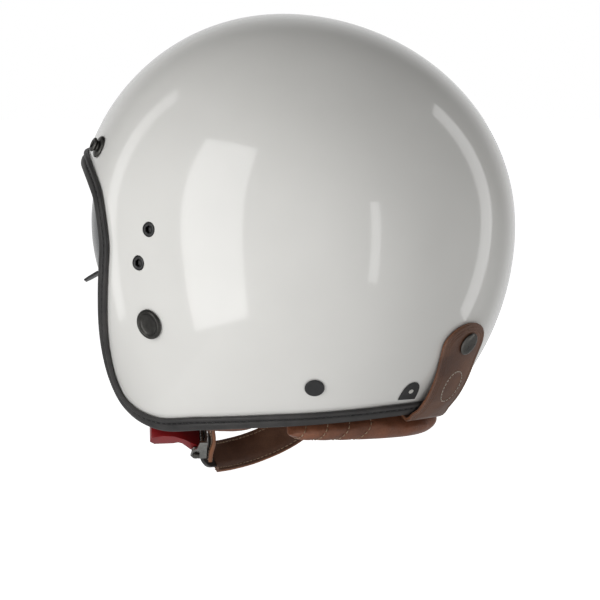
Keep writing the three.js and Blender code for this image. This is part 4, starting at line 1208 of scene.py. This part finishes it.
def strap_body(route, width, thickness, steps, groove=0.25, inset=2.2):
    """A leather strap: rounded burnished edges and a pressed line by each edge."""
    places, tangents, across, skin = strap_frames(route, steps)
    w, h = width / 2, thickness / 2
    edge_line = [(inset - 0.5, h), (inset, h - groove), (inset + 0.5, h)]
    half = [(-w + 0.5, h), *((u - w, v) for u, v in edge_line), (-w / 3, h + 0.06), (w / 3, h + 0.06),
            *((w - u, v) for u, v in edge_line[::-1]), (w - 0.5, h),
            (w - 0.12, h - 0.3), (w, 0), (w - 0.12, -h + 0.3)]
    outline = np.array(half + [(-u, -v) for u, v in half])
    flat_part = outline[None, :, :1] * across[:, None]
    sections = places[:, None] + flat_part + outline[None, :, 1:] * skin[:, None]
    points, faces = loft(sections)
    around = len(outline)
    edge = {9, 10, 11, 12, 22, 23, 24, 25}
    kinds = [1 if len(f) == 4 and f[0] % around in edge else 0 for f in faces]
    return points, faces, kinds


def strap_stitches(route, width, thickness, steps, inset=2.2, start=0):
    places, tangents, across, skin = strap_frames(route, steps)
    rows = []
    for side in (-1, 1):
        for face in (-1, 1):
            line = places + across * side * (width / 2 - inset) + skin * face * (thickness / 2 - 0.12)
            rows.append(stitch_row(line[start:], (skin * face)[start:], 2.9, 2.1, 0.55, 0.5))
    return joined(rows)


def clear_of_rivet(obj, place, side):
    at = on_shell(place)
    hole = turned([(3.1, -12), (3.1, 4)], mirrored(at, side), mirrored(shell_normal(at), side), 40)
    return cut(obj, hole)


def strap_legs():
    for name, side in (("left", 1), ("right", -1)):
        for label, place, route in (("front", RIVET_FRONT, FRONT_LEG), ("rear", RIVET_REAR, REAR_LEG)):
            points, faces, kinds = strap_body(flipped(route, side), 16, 1.8, 60, 0.15, 2.0)
            obj = make(f"strap_leg_leather_{label}_{name}", points, faces, [STRAP_LEATHER, STRAP_EDGE],
                       50, kinds)
            clear_of_rivet(obj, place, side)
            settle(obj, "helmet", "strap_leather", f"strap_leg_{label}_{name}")


def chin_straps():
    points, faces, kinds = strap_body(LEFT_ROUTE, 20, 2.4, 90)
    obj = make("chin_strap_short", points, faces, [STRAP_LEATHER, TAN_EDGE], 50, kinds)
    settle(obj, "helmet", "strap_leather", "chin_strap_left")
    rows = strap_stitches(LEFT_ROUTE, 20, 2.4, 90, start=16)
    settle(make("chin_strap_short_stitches", *rows, TAN_THREAD), "helmet", "strap_leather")
    points, faces, kinds = strap_body(RIGHT_ROUTE, 20, 2.4, 150)
    obj = make("chin_strap_long", points, faces, [STRAP_LEATHER, TAN_EDGE], 50, kinds)
    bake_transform(obj)
    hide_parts("chin_strap_right")
    rows = strap_stitches(RIGHT_ROUTE, 20, 2.4, 150, start=16)
    threads = make("chin_strap_long_stitches", *rows, TAN_THREAD)
    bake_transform(threads)


# ---- Ratchet buckle ----

def buckle():
    housing = fine_copy("buckle_side_plates", "buckle_housing", STEEL, 0.3, 3)
    settle(housing, "helmet", "buckle_steel", "buckle_housing")
    pin = fine_copy("buckle_pivot_pin", "buckle_pin", GUNMETAL, 0.2, 2)
    settle(pin, "helmet", "buckle_steel", "buckle_pin")
    lever = fine_copy("release_lever", "buckle_lever", RED_PLASTIC, 0.9, 4)
    settle(lever, "lever", "red_lever", "buckle_lever")
    turns = np.linspace(0, 2 * math.pi * 3.5, 120)
    x, z = PIN_ALONG + 2.2 * np.cos(turns), PIN_OUT + 2.2 * np.sin(turns)
    y = np.linspace(4.9, 7.1, 120)
    path = np.array([in_buckle(a, b, c) for a, b, c in zip(x, y, z)])
    settle(make("return_spring", *tube(path, 0.3), STEEL), "helmet", "buckle_steel", "lever_spring")


TONGUE_ROUTE = [
    (in_buckle(-7, 0, 2.5), -LEVER_SIDE), (in_buckle(4.5, 0, 2.5), -LEVER_SIDE),
    point(36, -35, -137.5, -0.5, 0.8, 0.3), point(28, -38.5, -140.2, -0.2, 0.85, 0.45),
    point(19, -40.8, -141.2, 0, 0.85, 0.5),
]


def ratchet_tongue():
    """A nylon ladder: a flat tongue with low saw teeth across its outer face."""
    steps = 260
    places, tangents, across, skin = strap_frames(TONGUE_ROUTE, steps)
    run = np.concatenate([[0], np.cumsum(np.linalg.norm(np.diff(places, axis=0), axis=1))])
    tooth = (run / 1.8) % 1
    rise = 0.42 * tooth * (run < 24)
    w, h = 6.5, 0.9
    sections = []
    for i in range(steps):
        low = -h + 0.45 - rise[i]
        end = min(1.0, 0.82 + run[i] / 12)
        right = [(w - 0.3, h), (w, h - 0.25), (w, -h + 0.2), (w - 0.3, -h), (w - 1.2, -h), (w - 1.5, low)]
        outline = right + [(-u, v) for u, v in right[::-1]]
        sections.append([places[i] + u * end * across[i] + v * skin[i] for u, v in outline])
    obj = make("toothed_tongue", *loft(sections), BLACK_NYLON, sharp=30)
    settle(obj, "tongue", "black_nylon", "ratchet_tongue")


# ---- Studio ----

CAMERA_DISTANCE = 2.2
CAMERA_HEADING = 35
CAMERA_ELEVATION = 3
LENS_MM = 220.0
SENSOR_MM = 36.0
AIM_RIGHT = 0.0084
AIM_DOWN = 0.045
CAMERA_SHIFT = Vector((0, 0.0012, -0.0002))


def heading_to(heading, elevation):
    """The direction at a heading and an elevation in degrees."""
    b, e = math.radians(heading), math.radians(elevation)
    return Vector((math.cos(b) * math.cos(e), math.sin(b) * math.cos(e), math.sin(e)))


def camera():
    """Stands off along one direction and looks a little to the right of and below the origin."""
    stand = heading_to(CAMERA_HEADING, CAMERA_ELEVATION)
    right = (-stand).cross(Vector((0, 0, 1))).normalized()
    up = right.cross(-stand)
    place = stand * CAMERA_DISTANCE + CAMERA_SHIFT
    forward = -stand + right * (AIM_RIGHT / CAMERA_DISTANCE) - up * (AIM_DOWN / CAMERA_DISTANCE)
    data = bpy.data.cameras.new("camera")
    data.lens, data.sensor_width = LENS_MM, SENSOR_MM
    obj = bpy.data.objects.new("camera", data)
    obj.location = place
    obj.rotation_euler = forward.to_track_quat("-Z", "Y").to_euler()
    SCENE.collection.objects.link(obj)
    SCENE.camera = obj


def softbox(name, heading, elevation, distance, width, height, radiance, glossy=True, roll=0):
    """A rectangular soft light that looks at the helmet from a heading and an elevation, in
    degrees. A fill light isn't seen in reflections."""
    away = heading_to(heading, elevation)
    data = bpy.data.lights.new(name, "AREA")
    data.shape, data.size, data.size_y = "RECTANGLE", width, height
    data.energy = radiance * math.pi * width * height
    obj = bpy.data.objects.new(name, data)
    obj.location = away * distance
    turn = (-away).to_track_quat("-Z", "Y") @ Quaternion((0, 0, 1), math.radians(roll))
    obj.rotation_euler = turn.to_euler()
    obj.visible_camera = False
    obj.visible_glossy = glossy
    SCENE.collection.objects.link(obj)
    return obj


# The studio walls' brightness: an even part, and how it grows along each axis.
WALL_EVEN = 0.289
WALL_SLOPE = (0.267, 0.156, -0.383)
WALL_LOWEST = 0.03
# A lit wall behind the helmet, that its far rim mirrors: where it is, and how bright.
BACK_WALL_HEADING, BACK_WALL_ELEVATION = 215.0, -3.0
BACK_WALL_EDGES = (0.62, 0.97)
BACK_WALL_LEVEL = 0.68


def world():
    """Studio walls: white to the eye, and as a source of light brighter on the helmet's left,
    below it and on the lit wall behind it."""
    made = bpy.data.worlds.new("studio")
    made.use_nodes = True
    tree = made.node_tree
    links = tree.links

    def node(kind, operation, *values):
        math_node = tree.nodes.new(kind)
        math_node.operation = operation
        for socket, value in zip(math_node.inputs, values):
            if hasattr(value, "is_output"):
                links.new(value, socket)
            else:
                socket.default_value = value
        return math_node.outputs["Value"]

    direction = tree.nodes.new("ShaderNodeTexCoord").outputs["Generated"]
    slope = node("ShaderNodeVectorMath", "DOT_PRODUCT", direction, WALL_SLOPE)
    level = node("ShaderNodeMath", "MAXIMUM", node("ShaderNodeMath", "ADD", slope, WALL_EVEN), WALL_LOWEST)
    behind = node("ShaderNodeVectorMath", "DOT_PRODUCT", direction,
                  heading_to(BACK_WALL_HEADING, BACK_WALL_ELEVATION))
    lobe = tree.nodes.new("ShaderNodeMapRange")
    lobe.interpolation_type = "SMOOTHSTEP"
    lobe.inputs["From Min"].default_value, lobe.inputs["From Max"].default_value = BACK_WALL_EDGES
    lobe.inputs["To Max"].default_value = BACK_WALL_LEVEL
    links.new(behind, lobe.inputs["Value"])
    both = node("ShaderNodeMath", "ADD", level, lobe.outputs[0])
    walls = tree.nodes["Background"]
    walls.inputs["Color"].default_value = (1, 1, 1, 1)
    links.new(both, walls.inputs["Strength"])
    bright = tree.nodes.new("ShaderNodeBackground")
    bright.inputs["Color"].default_value = (1, 1, 1, 1)
    pick = tree.nodes.new("ShaderNodeMixShader")
    rays = tree.nodes.new("ShaderNodeLightPath")
    links.new(rays.outputs["Is Camera Ray"], pick.inputs[0])
    links.new(walls.outputs[0], pick.inputs[1])
    links.new(bright.outputs[0], pick.inputs[2])
    links.new(pick.outputs[0], tree.nodes["World Output"].inputs["Surface"])
    SCENE.world = made


def floor():
    n = Nodes("pale_studio_floor")
    n.set(Roughness=0.9, Emission_Strength=1.0)
    n.shader.inputs["Emission Color"].default_value = (1, 1, 1, 1)
    material = n.finish(n.ramp(n.noise(3, 3), 0.3, 0.7, (0.86,) * 3, (0.89,) * 3))
    low = CAD_BOX[0][2] / MM - FLOOR_GAP / MM
    angle = np.linspace(0, 2 * math.pi, 96, endpoint=False)
    circle = np.stack([np.cos(angle), np.sin(angle), np.zeros(96)], -1)
    rings = [circle * radius + [0, 0, low] for radius in (1, 300, 3000, 9000)]
    obj = make("studio_floor", *loft(rings), material)
    obj.visible_diffuse = obj.visible_glossy = False


def studio():
    SCENE.view_settings.view_transform = "Standard"
    world()
    softbox("left_strip", -73, 14, 1.7, 0.28, 2.2, 1.1)
    softbox("left_fill", -50, 35, 1.75, 0.8, 1.2, 1.3, glossy=False)
    softbox("broad_front_box", -13, 4, 2.0, 0.95, 3.0, 2.1)
    softbox("broad_front_fill", -13, 4, 2.05, 0.95, 3.0, 0.9, glossy=False)
    softbox("thin_strip", 60, -4, 1.8, 0.16, 1.2, 1.9)
    softbox("far_strip", 142, 8, 1.8, 0.42, 2.66, 1.35, roll=-8)
    softbox("far_fill", 146, 14, 1.85, 0.4, 2.0, 3.4, glossy=False)
    floor()


camera()
outer_shell()
edge_trim()
foam_liner()
crown_pad()
neck_roll()
cheek_pads()
brow_snaps()
side_screws()
strap_rivets()
size_tag()
visor_lens()
visor_parts()
goggle_strap()
flap_details()
strap_legs()
chin_straps()
buckle()
ratchet_tongue()
studio()
